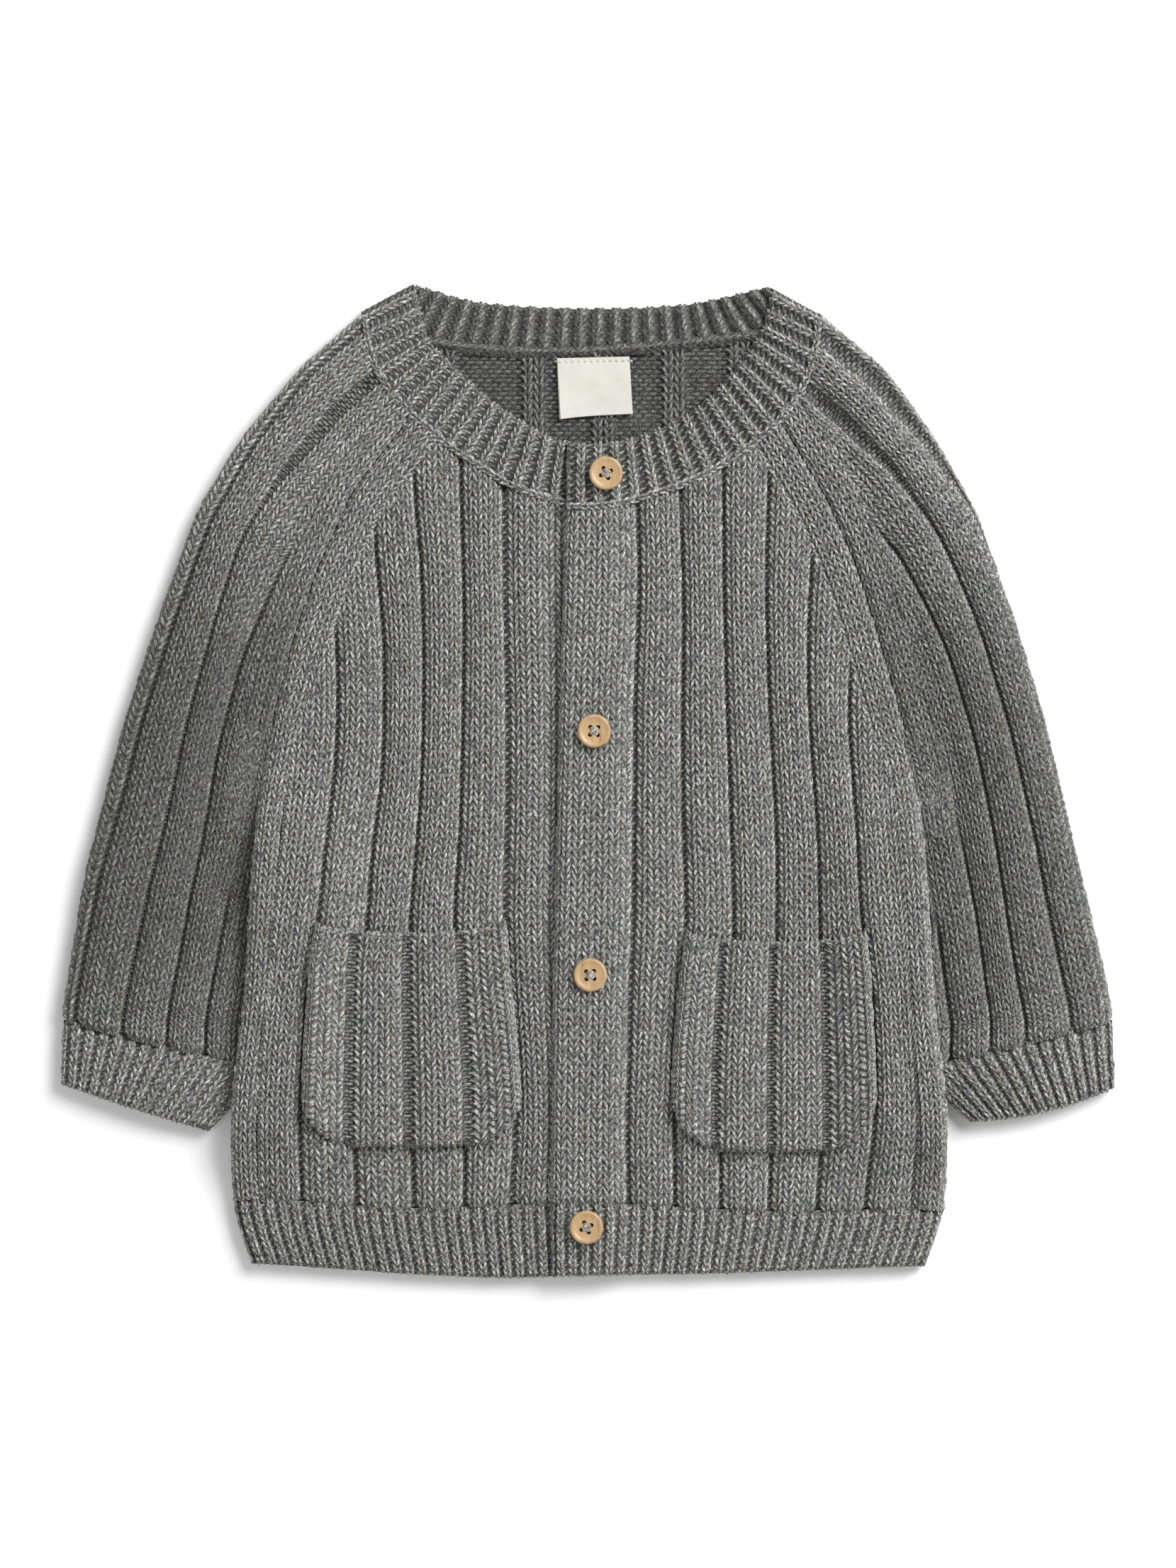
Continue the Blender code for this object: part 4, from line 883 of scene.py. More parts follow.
def sleeve(name, node, sign, fold_table, rib_folds, open_folds, neck_rows, back_rows, raglan, back_raglan, shade,
           seed):
    """A sleeve round the line of the arm's fold, where s runs down the arm and v up it."""
    fold = Line(fold_table)
    folds = Folds(DOWN_ARM, [[-5.6 - inset for inset in rib_folds[0]], *rib_folds])
    front_seam = Line([fold_table[0], *neck_rows], spread=2.0)
    inner_path = [*raglan, *SLEEVE_INNER]
    inner = Line(inner_path, spread=3.0)
    along, aside = np.array(sorted(zip(*fold.find(*np.array(inner_path).T)))).T
    cuff_x, cuff_y = zip(*CUFF_SEAM[::-1])

    def top_height(s, inset):
        """Height of the upper half between its ribs: it is domed, and flat near its seam."""
        radius = fold_radius(s)
        room = np.interp(s, along, aside, right=SLEEVE_WIDTH) - STRIP - 0.6
        across = np.clip((room - inset) / (room - radius), 0.0, 1.0)
        flat = 2 * FOLD_RADIUS
        return flat + (2 * radius - flat) * across + DOME * np.sin(math.pi * across) * ease(s / 30.0)

    def rib_rise(x, y):
        return RIB_RISE * (1.0 - ease((half_width(y) + 10.0 - x) / 8.0) * ease((20.0 - y) / 14.0))

    swell = wander(seed, 10, 0.35, 18.0, 330.0)

    def opened(q, s):
        """Near the neck, down to about the upper arm, some folds open up and show their purl wales."""
        away = q - np.round(q)
        wide = 1.0 + OPENING * np.isin(np.round(q), open_folds) * ease((85.0 - s) / 50.0)
        past = (np.abs(away) - RIB_GAP) * (0.5 - RIB_GAP * wide) / (0.5 - RIB_GAP)
        return np.round(q) + np.where(np.abs(away) < RIB_GAP, away * wide, np.sign(away) * (RIB_GAP * wide + past))

    def skin(q, v):
        """q is a whole number at each fold between ribs, and v runs up the arm."""
        s = -v
        radius = fold_radius(s)
        inset = folds.at(opened(q, s), s)
        arc = np.where(inset > radius, inset - radius + radius * math.pi / 2, inset * math.pi / 2)
        plan, fold_z = folded(arc, radius)
        x, y = fold.point(s, plan)
        from_band = front_seam.find(x, y)[1]
        depth = rib_depth(q) * folds_open(inner.find(x, y)[1]) * (0.4 + 0.6 * ease(-from_band / 7.0))
        upright = np.clip(arc / (radius * math.pi / 2), 0.0, 1.0)
        z = fold_z + (top_height(s, plan) - 2 * radius) * (arc > 0) + (rib_rise(x, y) - depth) * upright
        return x * sign, y, z + swell(q + 1.0, s + 20.0) * upright

    def below_band(x, y):
        return NECK_LAP - front_seam.find(x, y)[1]

    def in_panel(x, y):
        clear = -inner.find(x * sign, y)[1]
        return np.minimum(below_band(x * sign, y), clear - STRIP + extra(*SLEEVE_STRIP_ROLL) + SEAM_LAP)

    def top(q):
        return reach(skin, q, -150.0, 15.0, in_panel)

    def above_cuff(x, y):
        return y - np.interp(x * sign, cuff_x, cuff_y) + 0.5

    def bottom(place):
        return lambda q: reach(place, q, -150.0, -300.0, above_cuff)

    def strip(q, v):
        plan, down = turned(q, *SLEEVE_STRIP_ROLL)
        x, y = inner.point(-v, -plan)
        s, inset = fold.find(x, y)
        z = top_height(s, inset) + rib_rise(x, y) - down - 0.7 * ease((2.5 - plan) / 2.5) - seam_dip(q)
        return x * sign, y, z

    def strip_high(q):
        return reach(lambda q, v: inner.point(-v, -np.maximum(q - 1.0, 0.0)), q, -60.0, 20.0, below_band)

    def under(q, v):
        """The lower half, flat on the surface: q is the distance round from the arm's fold."""
        plan, z = folded(-q, fold_radius(-v))
        x, y = fold.point(-v, plan)
        return x * sign, y, z

    lower = Line([fold_table[0], *back_rows, *back_raglan, *SLEEVE_INNER], spread=2.0)

    def under_top(q):
        return reach(under, q, -200.0, 15.0, lambda x, y: -lower.find(x * sign, y)[1])

    def painted_arm_shade(points):
        """Painted shade: down the arm the sleeve is painted darker than at the shoulder and the cuff, for the shade
        that falls on it there.
        """
        y = points[:, 1]
        return shade * ease((115.0 - y) / 90.0) * (1.0 - 0.7 * ease((-50.0 - y) / 50.0))

    wales = [(0.5, 0.74, PLAIN), (0.74, 1.0 - RIB_GAP, PLAIN)]  # over the arm's fold
    for k in range(1, len(rib_folds)):
        if k in open_folds:
            wales += [(k - RIB_GAP, k, PURL), (k, k + RIB_GAP, PURL)]
        else:
            wales.append((k - RIB_GAP, k + RIB_GAP, CREASE))
        wales += rib_wales(k)
    round_fold = np.linspace(3.4, (FOLD_RADIUS + ARM_FULLNESS) * math.pi / 2, 4)
    lower_half = wales_at([*round_fold, *np.linspace(10.0, SLEEVE_WIDTH + 2.0, 20)], FLAT)
    # The upper half and its strip get painted shade down the arm.
    made = piece(name, [
        shaded(knit(skin, wales, bottom(skin), top, seed=seed, tuck=SEAM_TUCK, flip=sign > 0), painted_arm_shade),
        shaded(knit(strip, STRIP_WALES, -(inner.length - 30.0), strip_high, seed=seed + 1, flip=sign < 0), painted_arm_shade),
        knit(under, lower_half, bottom(under), under_top, seed=seed + 2, flip=sign < 0),
    ], wool)
    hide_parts(node)
    return made


# The last but one argument is how much painted shade darkens each sleeve down the arm.
sleeve_left = sleeve(
    "knit_sleeve_left", "sleeve_left", -1.0, SLEEVE_FOLD_LEFT, LEFT_SLEEVE_FOLDS, (2,),
    [(x, y) for x, y, _, _ in NECK_LEFT_FRONT[:4]], [(68.0, 152.6), (56.0, 148.4)], RAGLAN_LEFT,
    [(84.0, 88.0), (106.5, 22.3)], 0.57, 41,
)
sleeve_right = sleeve(
    "knit_sleeve_right", "sleeve_right", 1.0, SLEEVE_FOLD_RIGHT, RIGHT_SLEEVE_FOLDS, (1, 2),
    [(x, y) for x, y, _, _ in NECK_RIGHT_FRONT[:4]], [(69.0, 152.9), (58.0, 150.8)], RAGLAN_RIGHT,
    [(87.0, 88.0), (108.6, 12.0)], 0.42, 44,
)

# ---------------------------------------------------------------- cuffs
# A one by one rib that draws the end of each sleeve in, knitted on and lying flat as a tube.

CUFF_EDGE_LEFT = ((178.8, -102.5), (129.1, -118.3))
CUFF_EDGE_RIGHT = ((178.1, -103.7), (129.4, -115.2))
CUFF_LENGTH = 66.0  # across the cuff over its two folds
CUFF_DEPTH, CUFF_LAP = 21.0, 0.6  # from edge to seam, and how far it runs up behind the sleeve
CUFF_EDGE_ROLL, CUFF_UNDER_ROLL = (1.3, 2.6), (1.3, 2.9)
FOLD_ROLL = (FOLD_RADIUS, FOLD_RADIUS)  # of the two folds of a flat tube


def cuff(name, node, sign, edge, inset, bow, seed):
    """A cuff whose outer corner is drawn in at the seam by inset, and whose edge sags by bow."""
    def place(q, v):
        share, down = spread(q, CUFF_LENGTH, 0.0, 1.0, (FOLD_ROLL, FOLD_ROLL))
        outer = [a + (b - a) * v for a, b in zip(CUFF_SEAM[0], edge[0])]
        inner = [a + (b - a) * v for a, b in zip(CUFF_SEAM[1], edge[1])]
        x = outer[0] + (inner[0] - outer[0]) * share - inset * (1.0 - v) * (1.0 - share)
        y = outer[1] + (inner[1] - outer[1]) * share - bow * v * 4.0 * share * (1.0 - share)
        return x, y, share, down

    def skin(q, v):
        """v runs from 0 at the rolled edge to the seam."""
        plan, end_down = turned(v, *CUFF_EDGE_ROLL)
        x, y, share, down = place(q, 1.0 - plan / CUFF_DEPTH)
        hidden = ease((half_width(y) + 8.0 - x) / 7.0)
        dome = 1.4 * np.sin(math.pi * share)
        z = 2 * FOLD_RADIUS + (dome + BAND_RISE - band_depth(q, CUFF_LENGTH, HEM_RIB)) * (1.0 - hidden)
        return x * sign, y, z - np.minimum(joined(down, end_down), FOLD_RADIUS)

    def under(q, v):
        plan, end_up = turned(v, *CUFF_UNDER_ROLL)
        x, y, _, up = place(q, 1.0 - plan / CUFF_DEPTH)
        return x * sign, y, np.minimum(joined(up, end_up), FOLD_RADIUS)

    high = CUFF_DEPTH + CUFF_LAP + extra(*CUFF_EDGE_ROLL)
    lower_half = wales_at([CUFF_LENGTH * share for share in (0.0, 0.03, 0.06, 0.3, 0.6, 0.94, 0.97, 1.0)], FLAT)
    made = piece(name, [
        knit(skin, band_wales(CUFF_LENGTH, HEM_RIB), 0.0, high, seed=seed, course=BAND_COURSE, relief=BAND_RELIEF,
             tuck=(0.0, 1.2), dark=BAND_HOLLOW_SHADE, flip=sign > 0),
        knit(under, lower_half, 0.0, high, seed=seed + 1, course=BAND_COURSE / 3, flip=sign < 0),
    ], wool)
    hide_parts(node)
    return made


cuff_left = cuff("knit_cuff_left", "cuff_left", -1.0, CUFF_EDGE_LEFT, 0.2, 0.6, 51)
cuff_right = cuff("knit_cuff_right", "cuff_right", 1.0, CUFF_EDGE_RIGHT, 1.0, 2.6, 53)

# ---------------------------------------------------------------- neckband
# A one by one rib, coarser than the hem's, linked to the neck edge with a row of chain. It folds over at
# both shoulders, and inside the back of the neck the band's other face shows.

BAND_PITCH = 6.0
NECK_FOLD_LEFT = (-76.6, 159.1, -59.5, 168.2)
NECK_FOLD_RIGHT = (78.5, 158.4, 61.9, 167.5)
BAND_ROLL, INNER_ROLL, UNDER_ROLL = (1.4, 3.4), (1.5, 1.6), (1.5, 1.5)
BAND_SHARE = 0.6  # of the pitch that a plain wale takes
BAND_START = -0.6  # how far the band runs under the chain


class Band:
    """The neckband in plan: seam points and free edge points at a distance along its middle."""

    def __init__(self, rows):
        rows = np.array(rows, float)
        middle = (rows[:, :2] + rows[:, 2:]) / 2
        keys = np.concatenate([[0.0], np.cumsum(np.hypot(*np.diff(middle, axis=0).T))])
        self.length = keys[-1]
        self.curves = [smooth_table(list(zip(keys, rows[:, i])), 3.0) for i in range(4)]

    def ends(self, p):
        return [np.interp(p, *curve) for curve in self.curves]

    def width(self, p):
        x0, y0, x1, y1 = self.ends(p)
        return np.hypot(x1 - x0, y1 - y0)

    def point(self, p, across):
        x0, y0, x1, y1 = self.ends(p)
        size = self.width(p)
        return x0 + (x1 - x0) / size * across, y0 + (y1 - y0) / size * across

    def rolled(self, p, v, roll):
        """The place in plan of cloth that rolls over the free edge, and how far down it is there."""
        width = self.width(p)
        plan, down = turned(width + extra(*roll) - v, *roll)
        return *self.point(p, width - plan), down

    def across(self, roll, length, rolls):
        """For each wale, how far it runs from the seam until it has rolled over the free edge."""
        return lambda q: self.width(spread(q, length, 0.0, self.length, rolls)[0]) + extra(*roll)


def band_front(band, start_roll, base, seed, flip):
    rolls = (start_roll, FOLD_ROLL)
    length = band.length + extra(*start_roll) + extra(*FOLD_ROLL)

    def skin(q, v):
        """q runs from the middle of the neck to the shoulder's fold, and v from the seam to the edge."""
        p, down = spread(q, length, 0.0, band.length, rolls)
        x, y, edge_down = band.rolled(p, v, BAND_ROLL)
        z = base(x) + WALL + BAND_RISE - band_depth(q, length, BAND_PITCH, BAND_SHARE) * 1.15
        return x, y, z - np.minimum(joined(down, edge_down), 4.2)

    return knit(skin, band_wales(length, BAND_PITCH, BAND_SHARE), BAND_START, band.across(BAND_ROLL, length, rolls),
                seed=seed, course=BAND_COURSE, relief=BAND_RELIEF, flip=flip, tuck=(0.4, 0.0))


back_band = Band([NECK_FOLD_LEFT, *NECK_BACK, NECK_FOLD_RIGHT])
right_band = Band([*NECK_RIGHT_FRONT[::-1], NECK_FOLD_RIGHT])
left_band = Band([*((-a, b, -c, d) for a, b, c, d in NECK_LEFT_FRONT[::-1]), NECK_FOLD_LEFT])
under_length = back_band.length + 2 * extra(*FOLD_ROLL)


def back_band_skin(q, v):
    p, _ = spread(q, back_band.length, 0.0, back_band.length, (NO_ROLL, NO_ROLL))
    x, y, down = back_band.rolled(p, v, INNER_ROLL)
    return x, y, 3.4 - band_depth(q, back_band.length, BAND_PITCH, BAND_SHARE) * 1.1 - down


def under_band_skin(q, v):
    p, up = spread(q, under_length, 0.0, back_band.length, (FOLD_ROLL, FOLD_ROLL))
    x, y, edge_up = back_band.rolled(p, v, UNDER_ROLL)
    return x, y, np.minimum(joined(up, edge_up), FOLD_RADIUS)


def chain(band, base, seed, flip, start=0.0, end=0.0):
    """The row of linking chain that joins the band, a single wale that runs along its seam."""
    def skin(q, v):
        x, y = band.point(v, 0.9 + q)
        return x, y, base(x) - 1.4 * (np.abs(q) / 1.5) ** 2.5

    return knit(skin, [(-1.5, 1.5, PLAIN)], start, band.length - end, seed=seed, course=2.3, relief=1.0, flip=flip)


CHAIN_HEIGHT = WALL + 1.35
band_ends = ((0.0, 5.0, 4), (9.0, under_length - 9.0, 30), (under_length - 5.0, under_length, 4))
under_wales = wales_at(np.concatenate([np.linspace(*part) for part in band_ends]), FLAT)
neckband = piece("knit_neckband", [
    chain(right_band, lambda x: upper_level(x) + CHAIN_HEIGHT, 65, True, start=-1.0, end=2.0),
    chain(left_band, lambda x: TOP_LAYER + CHAIN_HEIGHT - RIB_RISE * under_other(x), 66, False, end=2.0),
    # Painted shade: the chain inside the back of the neck is painted darker.
    shaded(chain(back_band, lambda x: 4.5, 67, False, start=2.0, end=2.0), lambda points: INSIDE_SHADE),
    band_front(right_band, PLACKET_ROLL, upper_level, 61, False),
    band_front(left_band, NO_ROLL, lower_level, 62, True),
    # Painted shade: the band's inner face inside the back of the neck is painted darker.
    shaded(knit(back_band_skin, band_wales(back_band.length, BAND_PITCH, BAND_SHARE), BAND_START,
                lambda q: back_band.width(q) + extra(*INNER_ROLL), seed=63, course=BAND_COURSE, relief=1.0,
                flip=True), lambda points: 0.75 * INSIDE_SHADE),
    knit(under_band_skin, under_wales, 0.0, lambda q: back_band.width(q) + extra(*UNDER_ROLL), seed=64,
         course=BAND_COURSE / 2),
], wool)
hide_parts("neckband")

# ---------------------------------------------------------------- pockets
# Patch pockets knitted in the same ribs and sewn on round three sides. The mouth has a rolled edge and
# sags a little.

POCKET_SIDES_LEFT = ((0.0, -92.2, -28.3), (0.25, -94.6, -27.0), (0.75, -96.4, -24.2), (1.0, -97.0, -23.0))
POCKET_SIDES_RIGHT = ((0.0, 33.1, 93.4), (0.25, 31.0, 95.0), (0.75, 28.6, 96.6), (1.0, 28.1, 97.0))
POCKET_FOLDS = (0.213, 0.486, 0.759)
POCKET_ROLL = (1.8, 5.0)
MOUTH_ROLL = (1.5, 3.0)
POCKET_WIDTH, POCKET_HEIGHT = 64.0, 11.7  # its height is that of its crowns over the front's own base
CORNER_SHARE = 0.24  # of its width that each rounded corner takes


def pocket_depth(strand, half):
    """Depth of a pocket's ribs, whose folds lie half open."""
    away = np.abs(strand - np.round(strand))
    s = np.clip((0.5 - away) / (0.5 - half), 0.0, 1.0)
    return 0.6 * s ** 2 + 1.3 * s ** 5 + 1.0 * ease((half - away) / half)


def pocket(name, node, sides, mouth, sag, corner, bottom, bow, gap, seed):
    """sides gives X of the left and right side at shares of the way down; the rest are heights on the
    garment: the mouth and its sag, the start of the corners, the lower edge and its bow."""
    downs, lefts, rights = zip(*sides)
    length = POCKET_WIDTH + 2 * extra(*POCKET_ROLL)
    high = mouth - bottom + extra(*POCKET_ROLL) + extra(*MOUTH_ROLL)

    def skin(q, v):
        """q is 0 and 1 at the two sides, and v runs from the lower edge to the mouth."""
        share, side_down = spread(q * length, length, 0.0, 1.0, (POCKET_ROLL, POCKET_ROLL))
        top = mouth - 2.0 * sag * np.sqrt(np.clip(share, 0, 1) * np.clip(1.0 - share, 0, 1))
        in_corner = np.clip(1.0 - np.minimum(share, 1.0 - share) / CORNER_SHARE, 0.0, 1.0)
        low = bottom + (corner - bottom) * (1.0 - np.sqrt(1.0 - in_corner ** 2)) - bow * np.sin(math.pi * share)
        _, low_down = turned(v, *POCKET_ROLL)
        _, mouth_down = turned(high - v, *MOUTH_ROLL)
        t, _ = spread(v, high, 0.0, 1.0, (POCKET_ROLL, MOUTH_ROLL))
        y = low + (top - low) * t
        down_share = np.clip((mouth - y) / (mouth - corner), 0.0, 1.0)
        left, right = np.interp(down_share, downs, lefts), np.interp(down_share, downs, rights)
        x = left + (right - left) * share
        strand = np.interp(share, [0.0, *POCKET_FOLDS, 1.0], [-0.5, 0.0, 1.0, 2.0, 2.5])
        depth = np.where((strand > -0.5) & (strand < 2.5), pocket_depth(strand, 2.0 * gap / 0.27), 0.0)
        depth = depth * (0.3 + 0.7 * ease((high - v - 2.0) / 4.0))
        z = lift(x, y) + overlap(x) * (x > 0) + POCKET_HEIGHT - depth
        return x, y, z - np.minimum(joined(side_down, low_down, mouth_down), 5.0)

    wales = []
    bounds = [-gap, *((f * POCKET_WIDTH + extra(*POCKET_ROLL)) / length for f in POCKET_FOLDS), 1.0 + gap]
    for a, b in zip(bounds, bounds[1:]):
        wales += wales_at(np.linspace(a + gap, b - gap, 5), PLAIN) + [(b - gap, b + gap, PURL)]
    made = piece(name, [knit(skin, wales[:-1], 0.0, high, seed=seed)], wool)
    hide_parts(node)
    return made


pocket_left = pocket("knit_pocket_left", "pocket_left", POCKET_SIDES_LEFT, mouth=-46.8, sag=4.4,
                     corner=-106.0, bottom=-122.6, bow=1.2, gap=0.019, seed=71)
pocket_right = pocket("knit_pocket_right", "pocket_right", POCKET_SIDES_RIGHT, mouth=-49.5, sag=4.8,
                      corner=-106.0, bottom=-123.9, bow=1.4, gap=0.014, seed=72)

# ---------------------------------------------------------------- label
# A bare woven satin label, folded double and sewn inside the back of the neck by a line of stitches along
# its upper edge. It hangs free below them and has a slight curl.

LABEL_SIDES = ((-10.8, 143.6, -9.6, 123.0), (13.7, 144.2, 14.8, 124.8))
SATIN_THICKNESS = 0.22
LABEL_HEIGHT, UNDER_HEIGHT = 5.0, 4.65  # of the ribbon's two layers over the surface
LABEL_THREAD = 0.17
SATIN_THREAD = 0.16  # pitch of its threads
LABEL_STITCH = 2.15


def satin(name, cream, shade):
    """Woven satin ribbon: fine floats along its length, over a slight ribbing across it."""
    made, tree, place = blank(name)
    floats = add(tree, "ShaderNodeTexWave", {
        "Vector": place, "Scale": 0.5 / (SATIN_THREAD * MM), "Distortion": 1.0, "Detail": 1.0,
    }, bands_direction="X")
    picks = add(tree, "ShaderNodeTexWave", {
        "Vector": place, "Scale": 0.35 / (SATIN_THREAD * MM), "Distortion": 1.5, "Detail": 1.0,
    }, bands_direction="Y")
    woven = add(tree, "ShaderNodeMath", {
        0: floats.outputs["Fac"], 1: 0.6, 2: picks.outputs["Fac"],
    }, operation="MULTIPLY_ADD")
    soil = add(tree, "ShaderNodeTexNoise", {
        "Vector": place, "Scale": 1.0 / (6.0 * MM), "Detail": 3.0,
    })
    tone = add(tree, "ShaderNodeMath", {
        0: woven.outputs[0], 1: 0.25, 2: soil.outputs["Fac"],
    }, operation="MULTIPLY_ADD")
    colour = add(tree, "ShaderNodeValToRGB", {"Fac": tone.outputs[0]}, stops=((0.3, shade), (0.8, cream)))
    bump = add(tree, "ShaderNodeBump", {"Height": woven.outputs[0], "Distance": 0.03 * MM, "Strength": 0.6})
    coat(tree, colour.outputs["Color"], bump, {"Roughness": 0.42, "IOR": 1.5})
    return made


def solid(name, points, faces, look):
    """One smooth mesh object, in millimetres."""
    mesh = bpy.data.meshes.new(name)
    mesh.from_pydata([tuple(p * MM for p in point) for point in points], [], faces)
    mesh.shade_smooth()
    mesh.set_sharp_from_angle(angle=math.radians(40.0))
    mesh.materials.append(look)
    made = placed(name, mesh)
    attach(made, "root")
    return made


def ribbon(top, thickness):
    """A thin closed sheet under a grid of points."""
    rows, columns = top.shape[:2]
    low = top - np.array([0.0, 0.0, thickness])
    points = np.concatenate([top.reshape(-1, 3), low.reshape(-1, 3)])
    n = rows * columns
    faces = []
    for i in range(rows - 1):
        for j in range(columns - 1):
            a = i * columns + j
            quad = (a, a + 1, a + columns + 1, a + columns)
            faces += [quad, tuple(n + k for k in quad[::-1])]
    ring = list(range(columns)) + [r * columns + columns - 1 for r in range(1, rows)]
    ring += [n - 1 - k for k in range(1, columns)] + [r * columns for r in range(rows - 2, 0, -1)]
    for a, b in zip(ring, ring[1:] + ring[:1]):
        faces.append((b, a, a + n, b + n))
    return points, faces


cream = satin("cream_satin_ribbon_woven", "#cccac1", "#bdb9ab")
down, across = np.meshgrid(np.linspace(0, 1, 42), np.linspace(0, 1, 50), indexing="ij")
sides = np.array(LABEL_SIDES)
left_top, left_low, right_top, right_low = sides[0, :2], sides[0, 2:], sides[1, :2], sides[1, 2:]
plane = [
    (left_top[i] * (1 - down) + left_low[i] * down) * (1 - across)
    + (right_top[i] * (1 - down) + right_low[i] * down) * across
    for i in (0, 1)
]
plane[1] = plane[1] + down * (1.5 * across * (1 - across) - 0.6 * ease((across - 0.45) / 0.55) * (1 - across))
dimple = np.exp(-(((down - 0.065) * 20.5 / 0.55) ** 2))
dimple = dimple * (0.55 + 0.45 * np.cos(2 * np.pi * across * 24.5 / LABEL_STITCH))
curl = 0.55 * ease(down) * (0.4 + 0.6 * (2 * across - 1) ** 2) + 0.12 * np.sin(7.0 * across + 1.0) * down
curl = curl + 0.1 * np.sin(9.0 * down + 4.0 * across)
upper = np.stack([*plane, LABEL_HEIGHT + curl - 0.28 * dimple], -1)
under = np.stack([plane[0] - 0.45 * (1 - across) * (0.3 + 0.7 * down), plane[1] - 0.15 * down,
                  UNDER_HEIGHT + 0.7 * curl - 0.25 * dimple], -1)
label = solid("satin_label", *ribbon(upper, SATIN_THICKNESS), cream)
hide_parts("label")
label_under = solid("satin_label_under_fold", *ribbon(under, SATIN_THICKNESS), cream)


def strand(path, radius, sides=8):
    """A round thread along a path, as a patch of points, faces, stitch coordinates and painted hollow shade, which
    is none.
    """
    path = np.asarray(path, float)
    ahead = np.gradient(path, axis=0)
    ahead /= np.linalg.norm(ahead, axis=1, keepdims=True)
    side = np.cross(ahead, (0.0, 0.0, 1.0))
    weak = np.linalg.norm(side, axis=1) < 0.2
    side[weak] = side[~weak][0] if (~weak).any() else (1.0, 0.0, 0.0)
    side /= np.linalg.norm(side, axis=1, keepdims=True)
    rise = np.cross(side, ahead)
    turns = np.linspace(0, 2 * np.pi, sides, endpoint=False)
    radius = np.broadcast_to(radius, len(path))[:, None, None]
    ring = np.cos(turns)[None, :, None] * side[:, None] + np.sin(turns)[None, :, None] * rise[:, None]
    points = (path[:, None] + ring * radius).reshape(-1, 3)
    i, j = np.meshgrid(np.arange(len(path) - 1), np.arange(sides), indexing="ij")
    k = (j + 1) % sides
    faces = np.stack([i * sides + j, i * sides + k, (i + 1) * sides + k, (i + 1) * sides + j], -1).reshape(-1, 4)
    far = np.concatenate([[0.0], np.cumsum(np.linalg.norm(np.diff(path, axis=0), axis=1))]) / COURSE
    stitches = np.stack([np.tile(turns / 6.3, len(path)), np.repeat(far, sides)], -1)
    return points, faces[:, ::-1], stitches, np.zeros(len(points))


sewing = []
for n in range(12):
    share = (0.5 + LABEL_STITCH * n) / 24.6
    start = (left_top * (1 - share) + right_top * share) - (0.0, 1.35)
    t = np.linspace(0, 1, 9)
    sewing.append(strand(np.stack([
        start[0] + 1.35 * t, start[1] + 0.02 * t, 4.72 + 0.42 * np.sin(np.pi * t)], -1), LABEL_THREAD, 6))
for end_point, way in ((left_top, -1.0), (right_top, 1.0)):
    t = np.linspace(0, 1, 8)
    sewing.append(strand(np.stack([
        end_point[0] + way * (1.3 * t - 0.3), end_point[1] - 1.3 - 0.35 * np.sin(2.6 * t) * way,
        4.75 - 0.4 * t], -1), LABEL_THREAD, 6))
label_seam = piece("label_stitches", sewing, cream)

# ---------------------------------------------------------------- buttons
# Four plain bamboo buttons, turned with a slightly raised rim and drilled with four holes. Each is sewn on
# through its holes with a cross of the garment's own yarn.

BUTTONS = (
    (5.7, 104.4, 10.85, -20.0), (1.7, 17.2, 11.15, -2.0), (0.4, -65.3, 11.15, 3.0), (-0.9, -150.6, 10.85, -21.0),
)
HOLE_RADIUS, HOLES_APART = 0.72, 2.6
DRILL_SIDES = 20
THREAD_HEIGHT, THREAD_RADIUS = 2.16, 0.27
GRAIN = 0.35  # pitch of the fibres


def bamboo(name, pale, tan, brown):
    """Turned and polished bamboo: long fibres with darker strands among them and short dark pores."""
    made, tree, place = blank(name)
    drawn = add(tree, "ShaderNodeMapping", {
        "Vector": place, "Scale": (1.0, 0.09, 0.5), "Rotation": (0.0, 0.0, math.radians(8.0)),
    })
    fibres = add(tree, "ShaderNodeTexNoise", {
        "Vector": drawn.outputs["Vector"], "Scale": 1.0 / (GRAIN * MM), "Detail": 4.0, "Roughness": 0.6,
    })
    strands = add(tree, "ShaderNodeTexNoise", {
        "Vector": drawn.outputs["Vector"], "Scale": 1.0 / (2.2 * MM), "Detail": 2.0,
    })
    mixed = add(tree, "ShaderNodeMath", {
        0: strands.outputs["Fac"], 1: 0.9, 2: fibres.outputs["Fac"],
    }, operation="MULTIPLY_ADD")
    colour = add(tree, "ShaderNodeValToRGB", {"Fac": mixed.outputs[0]},
                 stops=((0.62, brown), (0.78, tan), (1.0, pale)))
    bump = add(tree, "ShaderNodeBump", {"Height": fibres.outputs["Fac"], "Distance": 0.03 * MM, "Strength": 0.5})
    coat(tree, colour.outputs["Color"], bump, {"Roughness": 0.38, "IOR": 1.5})
    return made


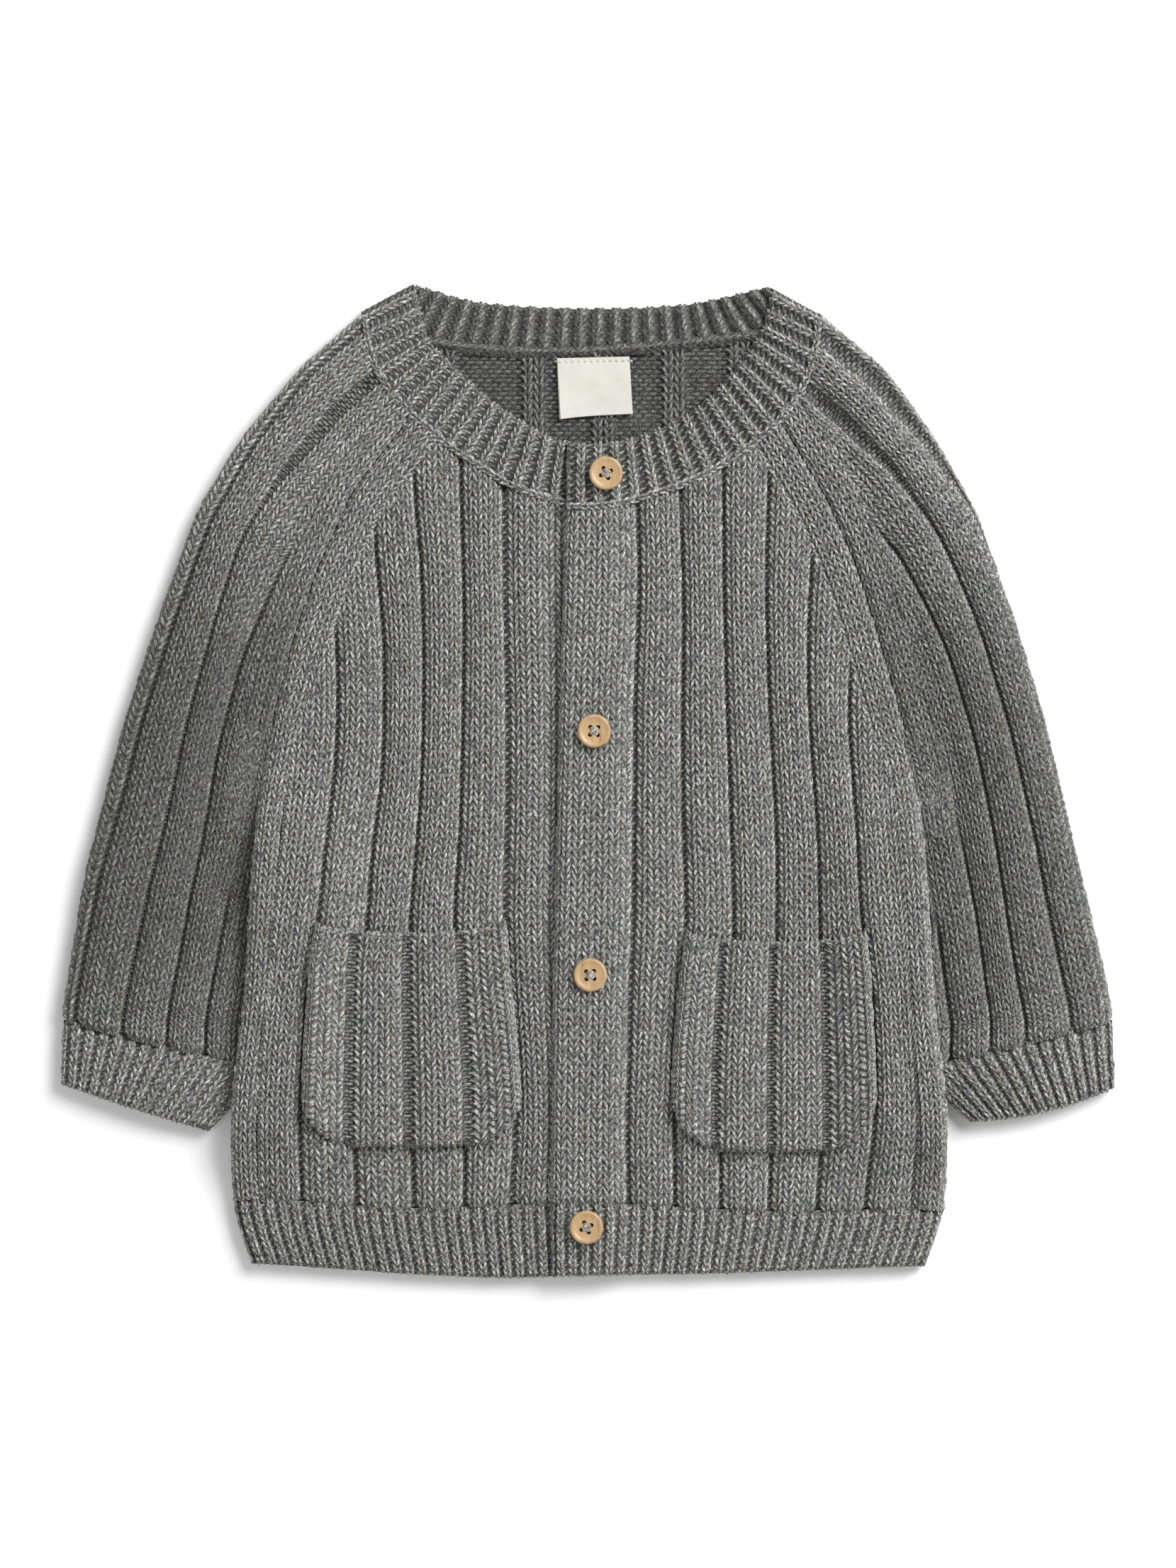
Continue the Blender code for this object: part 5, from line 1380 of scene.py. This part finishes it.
wood = bamboo("bamboo_turned_polished", "#b4976f", "#a7875f", "#886849")
BUTTON_PROFILE = (
    (0.0, 0.0), (4.6, 0.0), (5.2, 0.15), (5.58, 0.55), (5.7, 1.1), (5.68, 1.7), (5.5, 2.15), (5.2, 2.36),
    (4.85, 2.4), (4.5, 2.3), (4.1, 2.1), (3.6, 1.98), (2.6, 1.93), (0.0, 1.93),
)
cutter_mesh = bpy.data.meshes.new("button_drill")
points, faces = [], []
for sx in (-1, 1):
    for sy in (-1, 1):
        first = len(points)
        for turn in range(DRILL_SIDES):
            angle = 2 * math.pi * turn / DRILL_SIDES
            x = (sx * HOLES_APART / 2 + HOLE_RADIUS * math.cos(angle)) * MM
            y = (sy * HOLES_APART / 2 + HOLE_RADIUS * math.sin(angle)) * MM
            points += [(x, y, -MM), (x, y, 4 * MM)]
        for turn in range(DRILL_SIDES):
            a, b = first + 2 * turn, first + 2 * ((turn + 1) % DRILL_SIDES)
            faces.append((a, b, b + 1, a + 1))
        last = first + 2 * DRILL_SIDES
        faces += [tuple(range(last - 2, first - 2, -2)), tuple(range(first + 1, last, 2))]
cutter_mesh.from_pydata(points, [], faces)
drill = placed("button_drill", cutter_mesh)
profile_mesh = bpy.data.meshes.new("button_profile")
profile_mesh.from_pydata([(r * MM, 0.0, h * MM) for r, h in BUTTON_PROFILE], [],
                         [(i, i + 1) for i in range(len(BUTTON_PROFILE) - 1)])
profile = placed("button_profile", profile_mesh)
turning = profile.modifiers.new("turn", "SCREW")
turning.steps = turning.render_steps = 72
turning.use_merge_vertices = True
turning.merge_threshold = 0.00001
cut = profile.modifiers.new("holes", "BOOLEAN")
cut.object = drill
made = bpy.data.meshes.new_from_object(profile.evaluated_get(bpy.context.evaluated_depsgraph_get()))
for spare in (profile, drill):
    bpy.data.objects.remove(spare)
turned_points = [tuple(v.co) for v in made.vertices]
turned_faces = [tuple(p.vertices) for p in made.polygons]

rng = np.random.default_rng(81)
for number, (x, y, z, degrees) in enumerate(BUTTONS, 1):
    turn = math.radians(degrees)
    cos, sin = math.cos(turn), math.sin(turn)
    button = solid(f"bamboo_button_{number}", [
        (x + (a * cos - b * sin) / MM, y + (a * sin + b * cos) / MM, z + c / MM) for a, b, c in turned_points
    ], turned_faces, wood)
    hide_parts(f"button_{number}")
    cross = []
    t = np.linspace(-1, 1, 17)
    for diagonal in (1, -1):
        for aside in (-0.24, 0.24):
            reach_out = t * (HOLES_APART / 2 - 0.2)
            a = reach_out + aside * diagonal * (1 - 0.5 * t ** 2)
            b = reach_out * diagonal - aside * (1 - 0.5 * t ** 2)
            height = THREAD_HEIGHT + 0.22 * (diagonal > 0) * (1 - t ** 2) - 5.0 * np.clip(np.abs(t) - 0.78, 0, 1)
            wobble = rng.normal(0.0, 0.03, (3, 17))
            cross.append(strand(np.stack([
                x + a * cos - b * sin + wobble[0], y + a * sin + b * cos + wobble[1], z + height + wobble[2]], -1),
                THREAD_RADIUS + 0.03 * np.sin(9 * t)))
    thread = piece(f"button_thread_{number}", cross, wool)

# ---------------------------------------------------------------- surface and light
# A sheet of matt white paper under a bright, even room. A large softbox stands high at the upper right
# and shades the folds, and a weak one opposite lightens the shadows.

PAPER_WHITENESS = 0.9  # share of the light that it gives back
PAPER_HALF = 3  # half of its width, in metres

floor_mesh = bpy.data.meshes.new("floor")
floor_mesh.from_pydata([
    (x * PAPER_HALF, y * PAPER_HALF, 0) for x, y in ((-1, -1), (1, -1), (1, 1), (-1, 1))
], [], [(0, 1, 2, 3)])
floor = placed("floor", floor_mesh)
floor.location.z = -0.4 * MM  # clear of the cloth's lowest points
paper = bpy.data.materials.new("matt_white_paper")
paper.use_nodes = True
matt = paper.node_tree.nodes["Principled BSDF"].inputs
matt["Base Color"].default_value = (PAPER_WHITENESS, PAPER_WHITENESS, PAPER_WHITENESS, 1.0)
matt["Roughness"].default_value = 1.0
floor_mesh.materials.append(paper)

world = bpy.data.worlds.new("studio")
bpy.context.scene.world = world
world.use_nodes = True
room = world.node_tree.nodes["Background"].inputs
room["Color"].default_value, room["Strength"].default_value = linear("#ffffff"), 0.46


def softbox(name, place, size, power):
    light = bpy.data.lights.new(name, "AREA")
    light.shape = "RECTANGLE"
    light.size, light.size_y = size
    light.energy = power
    made = placed(name, light)
    made.location = place
    made.rotation_euler = (-made.location).to_track_quat("-Z", "Y").to_euler()


softbox("key_softbox", (1.35, 1.15, 1.65), (1.4, 1.4), 77.0)
softbox("fill_softbox", (-1.2, -1.3, 1.8), (1.2, 1.2), 10.0)
